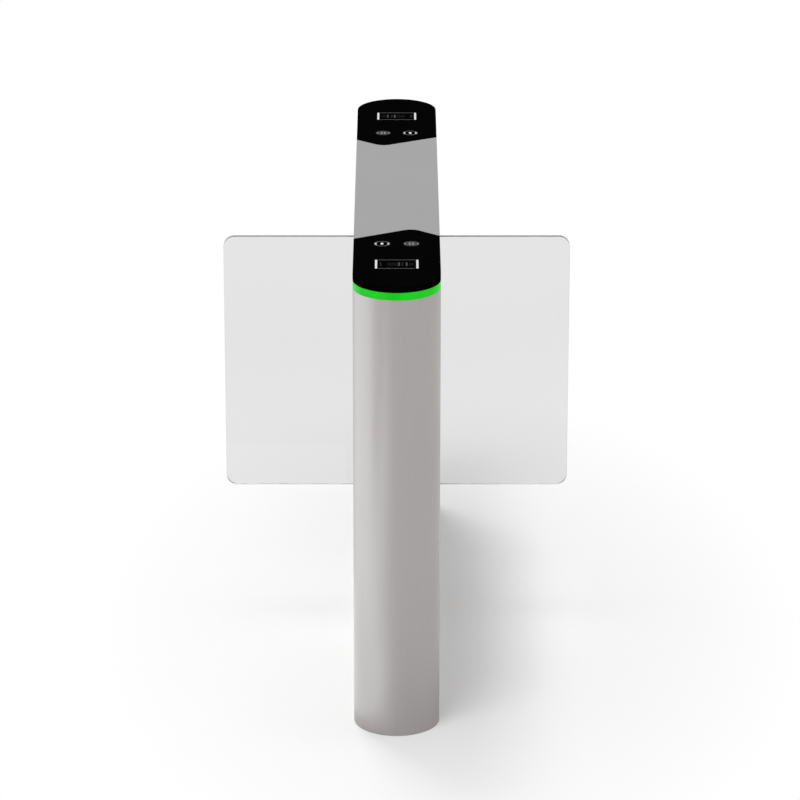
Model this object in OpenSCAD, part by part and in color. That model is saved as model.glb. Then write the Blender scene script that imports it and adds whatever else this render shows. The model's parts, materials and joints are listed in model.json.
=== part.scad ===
// Glass swing barrier: a slim pedestal with round ends and two glass wings, one for each lane.
// The pedestal runs along Y, its wings reach out along X, and z = 0 is the floor.
// The near end is at -Y. The far end is the near end turned half a turn about Z,
// and the left wing is the right wing turned the same way.

/* [Pedestal] */
// Length from end to end
body_l = 1400; // [1340:10:1700]
// Width, and the diameter of the round ends
body_w = 180; // [176:1:210]
// Height of the top face
body_h = 990; // [970:5:1100]
// Length of each of the two columns at the ends
column_l = 350; // [335:5:480]
// Height of the top beam with its sheet
beam_h = 101; // [90:1:140]
// Thickness of the sheet steel
sheet_t = 2; // [1.5:0.5:3]
// Thickness of the base plate
base_t = 8; // [6:1:12]
// Width of the lips folded inwards on the side panels, and of the ring round the foot of a column
lip_w = 14; // [10:1:20]
// Width of the ring round the top of a column, which carries the cap
top_lip_w = 22; // [18:1:24]
// Gap between neighbouring sheets
seat_gap = 0.3; // [0.2:0.1:0.6]
// Thickness of the deck over the drives
deck_t = 4; // [3:1:6]
// Thickness of the floor of the top beam
beam_floor_t = 4; // [3:1:6]
// Length of the shelf at each end of the beam that backs the seam of the top sheets
shelf_l = 62; // [56:1:80]
// Thickness of that shelf
shelf_t = 3; // [2:1:5]

/* [Wings] */
// Height of the lower edge of the glass
glass_z = 298; // [292:1:320]
// Thickness of the glass
glass_t = 12; // [8:1:13]
// Radius of the outer corners of the glass
glass_r = 24; // [5:1:60]
// Room above and below the glass
glass_gap = 13; // [8:1:20]
// Room between the tip of an open wing and the column
recess_clear = 32; // [10:1:50]

/* [Hinge posts] */
// Diameter of a hinge post
post_d = 54; // [50:1:56]
// Distance from the post to the side plane of the pedestal
post_side_gap = 3; // [2:0.5:5]
// Distance from the post to the spine panel
post_spine_gap = 3; // [3:0.5:6]
// Axial play of the post between its bushes
post_play = 0.2; // [0.1:0.1:0.5]
// Radial clearance of a shaft in its bush
running_gap = 0.05; // [0.03:0.01:0.1]
// Diameter of the lower journal
journal_d = 30; // [26:1:32]
// Diameter of the upper journal
top_journal_d = 25; // [20:1:28]
// Length of the upper journal
top_journal_l = 25; // [20:1:30]
// Thickness of a bush flange
bush_flange_t = 4; // [3:0.5:5]
// Wall of a bush round its journal
bush_wall = 6; // [4:0.5:8]
// Width of the upper bush's flange round its wall
top_flange_w = 6; // [3:0.5:7]
// Length of the upper bush inside the beam
top_bush_l = 16; // [10:1:22]
// Distance from the post's axis to the bottom of its glass slot
slot_in = 3; // [2:0.5:6]
// Thickness of the rubber round the glass
gasket_t = 2; // [1:0.5:2.5]
// Width of the rubber's legs along the glass
gasket_l = 22; // [18:0.5:22.5]
// Thickness of the clamp bar
clamp_t = 5; // [4:0.5:6]
// Width of the clamp bar
clamp_w = 17; // [14:0.5:18]
// Number of grub screws in a post
grub_n = 5; // [3:1:8]
// Diameter of a grub screw
grub_d = 6; // [5:1:8]
// Width across the corners of the hexagon in a grub screw
grub_socket = 3.4; // [2:0.1:4]
// Distance from the ends of the glass to the first and last grub screw
grub_end = 60; // [30:1:100]

/* [Cap] */
// Thickness of the glass cap and of the grey top sheet
top_t = 3; // [2:0.5:5]
// Thickness of the black frame under the glass cap
cap_frame_t = 11; // [9:1:16]
// Thickness of the frame's cross wall, which closes the light strip's chamber
cross_wall_t = 3; // [2:0.5:5]
// Diameter of the frame's screw bosses
boss_d = 10; // [9:0.5:12]
// Distance from the inner side of a column to the first pair of bosses
boss_inset = 36; // [32:1:60]
// Distance from the first pair to the second
boss_step = 114; // [74:1:124]
// Height of the light strip
strip_h = 16; // [14:1:24]
// Thickness of the light strip
strip_t = 6; // [4:0.5:8]
// Distance from the inner side of a column to the seam's outer end on the long side
seam_long = 30; // [20:1:50]
// Distance from the inner side of a column to the seam's outer end on the short side
seam_short = 10; // [6:1:40]
// How far the seam's corner reaches over the beam, before it is rounded
seam_tip = 39.5; // [20:0.5:44]
// Sideways place of that corner
seam_tip_x = 32.5; // [20:0.5:45]
// Radius of the rounded corner
seam_r = 26; // [10:1:40]
// Gap along the seam
seam_gap = 0.4; // [0.2:0.1:1]

/* [Reader and scanner] */
// Distance from the inner side of a column to its two light discs
disc_inset = 64.6; // [62:0.2:80]
// Distance from one light disc to the other
disc_pitch = 61; // [50:1:70]
// Diameter of a light disc
disc_d = 33; // [24:1:36]
// Distance from the inner side of a column to the centre of its scan window
scan_inset = 203; // [195:1:215]
// Width of the scan window
scan_w = 91; // [80:1:100]
// Length of the scan window
scan_l = 60; // [50:1:66]
// Width of the light bar at each end of the scan window
scan_bar_w = 6.5; // [4:0.5:10]
// Gap round a piece let into the glass cap
inlay_gap = 0.1; // [0.05:0.05:0.3]
// Width of the card reader's board
reader_w = 108; // [104:1:120]
// Length of the card reader's board
reader_l = 62; // [50:1:68]
// Thickness of a circuit board
board_t = 2; // [1:0.5:2.5]
// Thickness of the cap frame under the card reader
reader_floor_t = 3; // [2:0.5:4]
// Width of the loop of its antenna
loop_w = 5; // [3:0.5:8]
// Depth of the scanner below the glass cap
scanner_h = 45; // [36:1:60]
// Depth of the scanner's head, which fills the frame's window
scanner_head_h = 15; // [14:1:20]
// How much narrower the scanner is below its head, on each side
scanner_step = 10; // [4:1:16]
// Length of the scanner's fixing tabs
scanner_tab_l = 7; // [5:1:9]
// Thickness of the scanner's fixing tabs
scanner_tab_t = 3; // [2:0.5:4]

/* [Light strip inside] */
// Distance from the diffuser to the flexible board behind it
led_room = 4; // [4:0.5:6]
// Height of the flexible board
led_board_h = 10; // [8:1:12]
// Thickness of the flexible board
led_board_t = 1.5; // [1:0.5:2]
// Size of one lamp
led_size = 4; // [3:0.5:5]
// Thickness of one lamp
led_t = 2.5; // [1.5:0.5:3]
// Distance from lamp to lamp
led_pitch = 25; // [18:1:40]

/* [Service doors] */
// Distance from the inner side of a column to its door opening
door_inner_margin = 36; // [32:1:44]
// Distance from the round end to its door opening
door_outer_margin = 22; // [16:1:30]
// Height of the lower edge of the door opening
door_z = 110; // [60:1:160]
// Distance from the top of a column to its door opening
door_top_margin = 90; // [50:1:160]
// Gap round a door
door_gap = 1; // [0.8:0.1:1.5]
// Gap at the hinged edge of a door
door_hinge_gap = 2.5; // [2.3:0.1:3]
// Depth of a door's folded rim
door_rim = 12; // [11:0.5:14]
// Diameter of a hinge pin
pin_d = 4; // [3:0.5:4.5]
// Length of a hinge pin
pin_l = 20; // [16:1:26]
// Distance from the hinge axis to the inner face of the side sheet
pin_depth = 3.5; // [3:0.1:3.6]
// Distance from the hinge axis to the hinged edge of the door
pin_inset = 4.5; // [4:0.1:4.8]
// Length of a hinge bracket along the side
bracket_l = 18; // [14:1:24]
// Height of a hinge bracket
bracket_h = 8; // [6:1:10]
// Gap between a door and its hinge bracket
bracket_gap = 3; // [2:0.5:4]

/* [Locks] */
// Height of the locks
lock_z = 490; // [400:1:600]
// Distance from a lock to the free edge of its door
lock_inset = 15; // [14:0.5:20]
// Diameter of the lock barrel
lock_d = 16; // [14:0.5:18]
// Diameter of the lock's head
lock_head_d = 20; // [19:0.5:24]
// Thickness of the lock's head
lock_head_t = 1.5; // [1:0.5:3]
// Gap between the end of the door jamb and the cam
cam_gap = 3.5; // [2:0.5:5]
// Thickness of the cam
cam_t = 3; // [2:0.5:4]
// Width of the cam
cam_w = 12; // [10:0.5:16]
// Reach of the cam from the lock's axis
cam_reach = 26; // [22:1:30]
// Depth of the door jamb
jamb_d = 13.5; // [10:0.5:16]

/* [Sensors] */
// Distance from the inner side of a column to its row of sensors
sensor_inset = 16; // [14:1:20]
// Height of the lowest sensor
sensor_z = 200; // [150:1:240]
// Distance from sensor to sensor
sensor_gap = 180; // [120:1:200]
// Number of sensors in a row
sensor_n = 4; // [2:1:4]
// Diameter of a sensor
sensor_d = 12; // [8:1:16]
// Length of a sensor behind the side sheet
sensor_l = 26; // [18:1:30]
// Diameter of the nut behind a sensor
sensor_nut_d = 18; // [17:1:24]
// Thickness of that nut
sensor_nut_t = 4; // [3:0.5:6]
// How far a sensor's lens stands out
sensor_proud = 0.8; // [0.4:0.1:1.5]

/* [Drives] */
// Thickness of the drive frame's upper plate
drive_top_t = 10; // [8:1:14]
// Thickness of the drive frame's lower plate
drive_mid_t = 8; // [6:1:10]
// Half the length of the drive frame along the pedestal
drive_half_y = 60; // [50:1:80]
// Distance from the drive frame to the side sheets
drive_side_gap = 2; // [1:0.5:4]
// Width of a leg of the drive frame
drive_leg = 14; // [8:1:16]
// Height of the brake
brake_h = 20; // [14:1:24]
// Diameter of the brake, gearbox and motor flange
brake_d = 52; // [48:1:54]
// Air gap of the brake
brake_air = 1; // [0.5:0.1:1.5]
// Room between the brake's bore and the journal
brake_bore_gap = 1.5; // [1:0.5:3]
// Thickness of the brake disc
disc_t = 4; // [3:0.5:5]
// Diameter of the brake disc
brake_disc_d = 50; // [47:1:52]
// Diameter of the coupling
coupling_d = 46; // [40:1:48]
// Height of the coupling below the disc
coupling_h = 46; // [42:1:50]
// Depth to which the journal enters the coupling
coupling_grip = 28; // [20:1:30]
// Gap between the coupling and the drive frame's lower plate
coupling_gap = 16; // [8:1:20]
// Diameter of the gearbox's output shaft
shaft_d = 14; // [10:1:16]
// Length of the output shaft inside the gearbox
shaft_in = 34; // [20:1:50]
// Diameter of the gearbox's pilot
pilot_d = 30; // [24:1:36]
// Diameter of the gearbox
gearbox_d = 52; // [48:1:53]
// Height of the gearbox
gearbox_h = 70; // [60:1:72]
// Diameter of the motor
motor_d = 50; // [44:1:51]
// Height of the motor
motor_h = 76; // [60:1:78]
// Diameter of the encoder under the motor
encoder_d = 38; // [30:1:44]
// Height of the encoder
encoder_h = 14; // [8:1:15]

/* [Spine] */
// Distance from a column to the nearest upright in the spine
upright_inset = 150; // [90:1:230]
// Width of an upright along the pedestal
upright_w = 40; // [30:1:50]
// Wall of an upright
upright_wall = 3; // [2:0.5:4]

/* [Screws] */
// Diameter of a panel screw
screw_d = 5; // [4:0.5:6]
// Diameter of its head
screw_head_d = 9.5; // [8:0.5:11]
// Thickness of its head
screw_head_t = 2.5; // [2:0.1:2.8]
// Length of its shank
screw_l = 10; // [8:1:14]
// Radial clearance of a screw in its hole
screw_gap = 0.1; // [0.05:0.05:0.3]
// Distance from the deck and the beam to the nearest row of spine screws
spine_screw_end = 30; // [20:1:60]
// Distance from the drive frame to the inner deck screws
deck_screw_in = 60; // [30:1:100]
// Distance from a column to the outer deck screws
deck_screw_out = 30; // [16:1:110]

/* [Base] */
// Distance from the inner side of a column to the centre of its anchor holes
anchor_inset = 180; // [150:1:200]
// Distance between anchor holes across the pedestal
anchor_x_pitch = 110; // [80:1:124]
// Distance between anchor holes along the pedestal
anchor_y_pitch = 140; // [100:1:160]
// Diameter of an anchor hole
anchor_d = 14; // [10:1:18]
// Distance from the inner side of a column to its cable inlet
inlet_inset = 70; // [50:1:80]
// Diameter of a cable inlet
inlet_d = 50; // [30:1:60]
// Diameter of the lower cable hole in a column's inner side
low_cable_d = 60; // [40:1:80]
// Height of that hole
low_cable_z = 70; // [60:1:120]
// Diameter of the upper cable hole
high_cable_d = 36; // [20:1:44]

/* [Electronics] */
// Width of the control board
control_w = 104; // [80:1:112]
// Height of the control board
control_h = 260; // [180:1:300]
// Height of its lower edge
control_z = 440; // [380:1:500]
// Thickness of the plate that carries the board
control_plate_t = 3; // [2:0.5:4]
// Length of the board's spacers
control_spacer = 8; // [5:1:12]
// Height of the parts on the board
control_part_h = 14; // [6:1:20]
// Width of the power supply
supply_w = 98; // [80:1:110]
// Depth of the power supply
supply_d = 38; // [30:1:50]
// Height of the power supply
supply_h = 200; // [150:1:240]
// Height of its lower edge
supply_z = 480; // [400:1:520]

/* [Hidden] */
$fn = 96;
eps = 0.01;
past = 5; // how far a cutter runs past the face it cuts

end_r = body_w / 2;
round_y = body_l / 2 - end_r;
cap_frame_z = body_h - top_t - cap_frame_t;
top_z = body_h - top_t;
strip_z = cap_frame_z - strip_h;
column_h = strip_z;

hinge_x = end_r - post_side_gap - post_d / 2;
spine_half = hinge_x - post_d / 2 - post_spine_gap;
column_y = body_l / 2 - column_l;
middle_y = column_y - seat_gap;
wing_reach = hinge_x + column_y - recess_clear;
deck_z = glass_z - glass_gap;
beam_z = body_h - beam_h;
glass_h = beam_z - glass_gap - glass_z;

seam_long_y = column_y + seam_long;
seam_short_y = column_y + seam_short;
seam_tip_y = column_y - seam_tip;
disc_y = column_y + disc_inset;
scan_y = column_y + scan_inset;
boss_y1 = column_y + boss_inset;
boss_y2 = boss_y1 + boss_step;
anchor_y = column_y + anchor_inset;
inlet_y = column_y + inlet_inset;
upright_y = column_y - upright_inset;
deck_screw_y1 = drive_half_y + deck_screw_in;
deck_screw_y2 = column_y - deck_screw_out;

post_z0 = deck_z + bush_flange_t + post_play;
post_z1 = beam_z - bush_flange_t - post_play;
glass_edge = slot_in + gasket_t;
slot_right = glass_t / 2 + gasket_t;
slot_left = slot_right + clamp_t;
grub_x = slot_in + clamp_w / 2;
grub_pitch = (glass_h - 2 * grub_end) / (grub_n - 1);

drive_top_z = deck_z - deck_t - drive_top_t;
brake_z = drive_top_z - brake_h;
disc_z = brake_z - brake_air - disc_t;
coupling_z = disc_z - coupling_h;
journal_z = disc_z + disc_t - coupling_grip + post_play;
drive_mid_z = coupling_z - coupling_gap - drive_mid_t;
gearbox_z = drive_mid_z - gearbox_h;
motor_z = gearbox_z - motor_h;
encoder_z = motor_z - encoder_h;
drive_half_x = end_r - sheet_t - drive_side_gap;

side_in = end_r - sheet_t;
boss_x = side_in - top_lip_w + boss_d / 2 + seat_gap;
door_y0 = column_y + door_inner_margin;
door_y1 = round_y - door_outer_margin;
door_h = column_h - door_top_margin - door_z;
leaf_y0 = door_y0 + door_gap;
leaf_y1 = door_y1 - door_hinge_gap;
leaf_z0 = door_z + door_gap;
leaf_z1 = door_z + door_h - door_gap;
pin_x = side_in - pin_depth;
pin_y = leaf_y1 - pin_inset;
lock_y = leaf_y0 + lock_inset;
jamb_x = side_in - jamb_d;
cam_x = jamb_x - cam_gap - cam_t;
sensor_y = column_y + sensor_inset;

steel = "#b6b6b0";
grey = "#a9a9a9";
black = "#0a0a0a";
green = "#2ecf2e";
clear = "#dfe4e2";
white = "#f2f2f2";
metal = "#c4c6c8";
rubber = "#202020";
board = "#1d6b3a";
brass = "#b8974a";

// Places a near piece at the far end, or a right piece on the left
module half_turn() {
    rotate([0, 0, 180]) children();
}

// Outline of the near end: a half round, closed by a straight edge at y = -inner_y
module end_outline(radius, inner_y) {
    translate([0, -round_y]) circle(r = radius);
    translate([-radius, -round_y]) square([2 * radius, round_y - inner_y]);
}

// A band that follows the near end and is open towards the middle
module end_band(outer_r, inner_r, inner_y, height) {
    linear_extrude(height) difference() {
        end_outline(outer_r, inner_y);
        end_outline(inner_r, inner_y - past);
    }
}

// A box given by its two corners
module block(low, high) {
    translate(low) cube(high - low);
}

// A box that is the same on both sides of x = 0
module wide_block(half_x, low, high) {
    block([-half_x, low[0], low[1]], [half_x, high[0], high[1]]);
}

// A bore or a bar along X, between two places
module bar_x(x0, x1, y, z, d) {
    translate([x0, y, z]) rotate([0, 90, 0]) cylinder(h = x1 - x0, d = d);
}

// A bore or a bar along Y, between two places
module bar_y(x, y0, y1, z, d) {
    translate([x, y0, z]) rotate([-90, 0, 0]) cylinder(h = y1 - y0, d = d);
}

// Direction from one point to another, as a unit vector
function direction(a, b) = (b - a) / norm(b - a);

// The part of the top that the near glass cap covers. Growing it moves its seam outwards.
module cap_region(grow) {
    tip = [seam_tip_x, -seam_tip_y];
    long_way = direction(tip, [-end_r, -seam_long_y]);
    short_way = direction(tip, [end_r, -seam_short_y]);
    bisector = direction([0, 0], long_way + short_way);
    half_angle = acos(long_way * bisector);
    grown_tip = tip - bisector * grow / sin(half_angle);
    grown_r = seam_r + grow;
    touch = grown_r / tan(half_angle);
    polygon([
        grown_tip + short_way * touch,
        grown_tip + short_way * body_w,
        [body_w, -body_l],
        [-body_w, -body_l],
        grown_tip + long_way * body_w,
        grown_tip + long_way * touch
    ]);
    translate(grown_tip + bisector * grown_r / sin(half_angle)) circle(r = grown_r);
}

// Places of the screws that hold a cap frame from below
boss_places = [for (sx = [-1, 1], y = [boss_y1, boss_y2]) [sx * boss_x, -y]];

// Centres of the anchor holes
anchor_places = [for (end = [-1, 1], sx = [-1, 1], sy = [-1, 1])
    [sx * anchor_x_pitch / 2, end * anchor_y + sy * anchor_y_pitch / 2]];

module base_plate() {
    color(metal) linear_extrude(base_t) difference() {
        union() {
            end_outline(side_in - seat_gap, 0);
            half_turn() end_outline(side_in - seat_gap, 0);
        }
        for (place = anchor_places)
            translate(place) circle(d = anchor_d);
        for (end = [-1, 1])
            translate([0, end * inlet_y]) circle(d = inlet_d);
    }
}

// Bent sheet of the near column, with a door opening in its +X side
module column() {
    color(steel) union() {
        difference() {
            end_band(end_r, side_in, column_y, column_h);
            block([side_in - past, -door_y1, door_z], [end_r + past, -door_y0, door_z + door_h]);
            for (i = [0 : sensor_n - 1])
                bar_x(-end_r - past, end_r + past, -sensor_y, sensor_z + i * sensor_gap,
                    sensor_d + 2 * inlay_gap);
        }
        block([jamb_x, -door_y0, door_z], [end_r - sheet_t / 2, -door_y0 + sheet_t, door_z + door_h]);
    }
}

module near_column() {
    column();
}

module far_column() {
    half_turn() column();
}

// Wall that closes the near column towards the middle, with a cable hole at each end of it
module inner_wall() {
    difference() {
        wide_block(side_in, [-column_y - sheet_t, base_t], [-column_y, column_h]);
        bar_y(0, -column_y - sheet_t - past, -column_y + past, low_cable_z, low_cable_d);
        bar_y(0, -column_y - sheet_t - past, -column_y + past, (beam_z + column_h) / 2,
            high_cable_d);
    }
}

module inner_walls() {
    color(steel) {
        inner_wall();
        half_turn() inner_wall();
    }
}

// Flat ring welded into the near column
module column_ring(z, width) {
    translate([0, 0, z]) linear_extrude(sheet_t) difference() {
        end_outline(side_in, column_y + sheet_t);
        end_outline(side_in - width, column_y + sheet_t + width);
    }
}

// The ring on the base plate, and the one under the cap with its screw holes
module end_rings() {
    column_ring(base_t, lip_w);
    difference() {
        column_ring(column_h - sheet_t, top_lip_w);
        for (place = boss_places)
            translate([place[0], place[1], column_h - sheet_t - past])
                cylinder(h = sheet_t + 2 * past, d = screw_d + 2 * screw_gap);
    }
}

module column_rings() {
    color(steel) {
        end_rings();
        half_turn() end_rings();
    }
}

// Sheet on the right of the drives, with lips that carry the deck and stand on the base plate
module side_panel() {
    lip_z = [base_t, deck_z - deck_t - sheet_t];
    lip_y0 = drive_half_y + lip_w;
    color(steel) union() {
        block([side_in, -middle_y, 0], [end_r, middle_y, deck_z - deck_t]);
        for (z = lip_z, s = [-1, 1])
            difference() {
                block([side_in - lip_w, min(s * lip_y0, s * middle_y), z],
                    [side_in + sheet_t / 2, max(s * lip_y0, s * middle_y), z + sheet_t]);
                for (y = [deck_screw_y1, deck_screw_y2])
                    translate([side_in - lip_w / 2, s * y, z - past])
                        cylinder(h = sheet_t + 2 * past, d = screw_d + 2 * screw_gap);
            }
    }
}

module left_side_panel() {
    half_turn() side_panel();
}

module right_side_panel() {
    side_panel();
}

// Places of the screws that hold the deck, on both sides
deck_screw_places = [for (sx = [-1, 1], sy = [-1, 1], y = [deck_screw_y1, deck_screw_y2])
    [sx * (side_in - lip_w / 2), sy * y]];

module deck_plate() {
    color(steel) difference() {
        wide_block(end_r, [-middle_y, deck_z - deck_t], [middle_y, deck_z]);
        for (s = [-1, 1])
            translate([s * hinge_x, 0, deck_z - deck_t - past])
                cylinder(h = deck_t + 2 * past, d = journal_d + 2 * bush_wall + 2 * running_gap);
        for (place = deck_screw_places) {
            translate([place[0], place[1], deck_z - deck_t - past])
                cylinder(h = deck_t + 2 * past, d = screw_d + 2 * screw_gap);
            translate([place[0], place[1], deck_z - screw_head_t])
                cylinder(h = screw_head_t + past, d = screw_head_d + 2 * screw_gap);
        }
    }
}

// Welded frame that carries both drives under the deck
module drive_frame() {
    leg_x = drive_half_x - drive_leg;
    leg_y = drive_half_y - drive_leg;
    color(metal) difference() {
        union() {
            wide_block(drive_half_x, [-drive_half_y, drive_top_z],
                [drive_half_y, drive_top_z + drive_top_t]);
            wide_block(drive_half_x, [-drive_half_y, drive_mid_z],
                [drive_half_y, drive_mid_z + drive_mid_t]);
            for (sx = [0, 1], sy = [0, 1])
                mirror([sx, 0, 0]) mirror([0, sy, 0])
                    block([leg_x, leg_y, base_t], [drive_half_x, drive_half_y, drive_top_z + eps]);
        }
        for (s = [-1, 1])
            translate([s * hinge_x, 0, 0]) {
                translate([0, 0, drive_top_z - past])
                    cylinder(h = drive_top_t + 2 * past,
                        d = journal_d + 2 * bush_wall + 2 * running_gap);
                translate([0, 0, drive_mid_z - past])
                    cylinder(h = drive_mid_t + 2 * past, d = pilot_d + 2 * running_gap);
            }
    }
}

// Heights of the screws in the spine panels
spine_screw_z = [deck_z + spine_screw_end, (deck_z + beam_z) / 2, beam_z - spine_screw_end];

// Square tubes between the deck and the beam
module spine_frame() {
    half_x = spine_half - sheet_t;
    color(metal) for (y = [-upright_y, 0, upright_y])
        difference() {
            wide_block(half_x, [y - upright_w / 2, deck_z], [y + upright_w / 2, beam_z]);
            wide_block(half_x - upright_wall, [y - upright_w / 2 + upright_wall, deck_z - past],
                [y + upright_w / 2 - upright_wall, beam_z + past]);
            if (y != 0)
                for (z = spine_screw_z)
                    bar_x(-spine_half - past, spine_half + past, y, z, screw_d + 2 * screw_gap);
        }
}

module spine_panel() {
    color(steel) difference() {
        block([spine_half - sheet_t, -middle_y, deck_z], [spine_half, middle_y, beam_z]);
        for (y = [-upright_y, upright_y], z = spine_screw_z)
            bar_x(0, spine_half + past, y, z, screw_d + 2 * screw_gap);
    }
}

module left_spine_panel() {
    half_turn() spine_panel();
}

module right_spine_panel() {
    spine_panel();
}

// Open channel that joins the columns over the wings
module beam_tray() {
    color(grey) difference() {
        wide_block(end_r, [-middle_y, beam_z], [middle_y, top_z]);
        wide_block(side_in, [-middle_y - past, beam_z + beam_floor_t],
            [middle_y + past, top_z - shelf_t]);
        wide_block(side_in, [-middle_y + shelf_l, top_z - shelf_t - past],
            [middle_y - shelf_l, top_z + past]);
        for (s = [-1, 1])
            translate([s * hinge_x, 0, beam_z - past])
                cylinder(h = beam_floor_t + 2 * past,
                    d = top_journal_d + 2 * bush_wall + 2 * running_gap);
    }
}

// Grey sheet on top, between the two glass caps
module top_cover() {
    color(grey) translate([0, 0, top_z]) linear_extrude(top_t) difference() {
        square([body_w, 2 * round_y], center = true);
        cap_region(seam_gap);
        half_turn() cap_region(seam_gap);
    }
}

// Black moulded frame under the near glass cap, with its cross wall and bosses below
module cap_frame() {
    wall_half = end_r - strip_t - seat_gap;
    color(black) difference() {
        union() {
            translate([0, 0, cap_frame_z])
                linear_extrude(cap_frame_t) end_outline(end_r, column_y);
            wide_block(wall_half, [-column_y - cross_wall_t, strip_z],
                [-column_y, cap_frame_z + eps]);
            for (place = boss_places)
                translate([place[0], place[1], strip_z])
                    cylinder(h = strip_h + eps, d = boss_d);
        }
        for (place = boss_places)
            translate([place[0], place[1], strip_z - past])
                cylinder(h = screw_l + past, d = screw_d + 2 * screw_gap);
        wide_block(scan_w / 2 + seat_gap, [-scan_y - scan_l / 2 - seat_gap, cap_frame_z - past],
            [-scan_y + scan_l / 2 + seat_gap, top_z + past]);
        wide_block(reader_w / 2 + seat_gap,
            [-disc_y - reader_l / 2 - seat_gap, cap_frame_z + reader_floor_t],
            [-disc_y + reader_l / 2 + seat_gap, top_z + past]);
    }
}

module near_cap_frame() {
    cap_frame();
}

module far_cap_frame() {
    half_turn() cap_frame();
}

// Outlines of the pieces let into the near glass cap, grown by a gap
module inlay_outlines(grow) {
    for (s = [-1, 1])
        translate([s * disc_pitch / 2, -disc_y]) circle(d = disc_d + 2 * grow);
    translate([0, -scan_y]) square([scan_w + 2 * grow, scan_l + 2 * grow], center = true);
}

module cap_glass() {
    color(black) translate([0, 0, top_z]) linear_extrude(top_t) difference() {
        intersection() {
            end_outline(end_r, 0);
            cap_region(0);
        }
        inlay_outlines(inlay_gap);
    }
}

module near_cap_glass() {
    cap_glass();
}

module far_cap_glass() {
    half_turn() cap_glass();
}

// Light discs, and the light bars beside the scanner's pane
module inlays() {
    color(white) translate([0, 0, top_z]) linear_extrude(top_t) {
        for (s = [-1, 1]) {
            translate([s * disc_pitch / 2, -disc_y]) circle(d = disc_d);
            translate([s * (scan_w - scan_bar_w) / 2, -scan_y])
                square([scan_bar_w, scan_l], center = true);
        }
    }
}

module near_inlays() {
    inlays();
}

module far_inlays() {
    half_turn() inlays();
}

module light_strip() {
    color(green) translate([0, 0, strip_z])
        end_band(end_r, end_r - strip_t, column_y, strip_h);
}

module near_light_strip() {
    light_strip();
}

module far_light_strip() {
    half_turn() light_strip();
}

// Flexible board with its row of lamps behind the light strip
module led_board() {
    board_r = end_r - strip_t - led_room;
    lamp_z = strip_z + led_board_h / 2;
    board_y = column_y + cross_wall_t + seat_gap;
    first_y = board_y + led_pitch / 2;
    arc_n = floor(PI * board_r / led_pitch);
    color(white) union() {
        translate([0, 0, strip_z])
            end_band(board_r, board_r - led_board_t, board_y, led_board_h);
        for (y = [first_y : led_pitch : round_y - led_size], s = [-1, 1])
            translate([s * (board_r + (led_t - eps) / 2), -y, lamp_z])
                cube([led_t + eps, led_size, led_size], center = true);
        translate([0, -round_y, lamp_z]) for (i = [0 : arc_n - 1])
            rotate([0, 0, -180 * (i + 0.5) / arc_n])
                translate([board_r + (led_t - led_board_t) / 2, 0, 0])
                    cube([led_t + led_board_t, led_size, led_size], center = true);
    }
}

module led_boards() {
    led_board();
    half_turn() led_board();
}

// Code scanner that hangs in the window of the cap frame, with its pane let into the cap
module scanner() {
    low_half_w = scan_w / 2 - scanner_step;
    low_half_l = scan_l / 2 - scanner_step / 2;
    head_z = top_z - scanner_head_h;
    pane_half = scan_w / 2 - scan_bar_w - inlay_gap;
    color(black) union() {
        wide_block(pane_half, [-scan_y - scan_l / 2, top_z - eps], [-scan_y + scan_l / 2, body_h]);
        wide_block(scan_w / 2, [-scan_y - scan_l / 2, head_z], [-scan_y + scan_l / 2, top_z]);
        wide_block(low_half_w, [-scan_y - low_half_l, top_z - scanner_h],
            [-scan_y + low_half_l, head_z + eps]);
        wide_block(scan_w / 2 + scanner_tab_l, [-scan_y - scan_l / 4, cap_frame_z - scanner_tab_t],
            [-scan_y + scan_l / 4, cap_frame_z]);
    }
}

module near_scanner() {
    scanner();
}

module far_scanner() {
    half_turn() scanner();
}

// Board with an antenna loop and the two light pipes under the discs
module card_reader() {
    floor_z = cap_frame_z + reader_floor_t;
    loop_h = 1;
    color(board) union() {
        wide_block(reader_w / 2, [-disc_y - reader_l / 2, floor_z],
            [-disc_y + reader_l / 2, floor_z + board_t]);
        difference() {
            wide_block(reader_w / 2 - 1, [-disc_y - reader_l / 2 + 1, floor_z + board_t - eps],
                [-disc_y + reader_l / 2 - 1, floor_z + board_t + loop_h]);
            wide_block(reader_w / 2 - 1 - loop_w, [-disc_y - reader_l / 2 + 1 + loop_w, floor_z],
                [-disc_y + reader_l / 2 - 1 - loop_w, top_z]);
        }
        for (s = [-1, 1])
            translate([s * disc_pitch / 2, -disc_y, floor_z + board_t - eps])
                cylinder(h = top_z - floor_z - board_t + eps, d = disc_d - 1);
    }
}

module card_readers() {
    card_reader();
    half_turn() card_reader();
}

// One sensor in the right side of the near column
module sensor(z) {
    bar_x(side_in - sensor_l, end_r + sensor_proud, -sensor_y, z, sensor_d);
    bar_x(side_in - sensor_nut_t, side_in, -sensor_y, z, sensor_nut_d);
}

module sensors() {
    color(black) for (i = [0 : sensor_n - 1], side = [0, 1])
        mirror([side, 0, 0]) union() sensor(sensor_z + i * sensor_gap);
}

module near_sensors() {
    sensors();
}

module far_sensors() {
    half_turn() sensors();
}

// Lugs that carry the pins of one door
module door_brackets() {
    for (z = [leaf_z0 - bracket_gap - bracket_h, leaf_z1 + bracket_gap])
        difference() {
            block([side_in - door_rim, -pin_y - bracket_l / 2, z],
                [side_in, -pin_y + bracket_l / 2, z + bracket_h]);
            translate([pin_x, -pin_y, z - past])
                cylinder(h = bracket_h + 2 * past, d = pin_d + 2 * running_gap);
        }
}

module hinge_brackets() {
    color(metal) {
        door_brackets();
        half_turn() door_brackets();
    }
}

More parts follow.
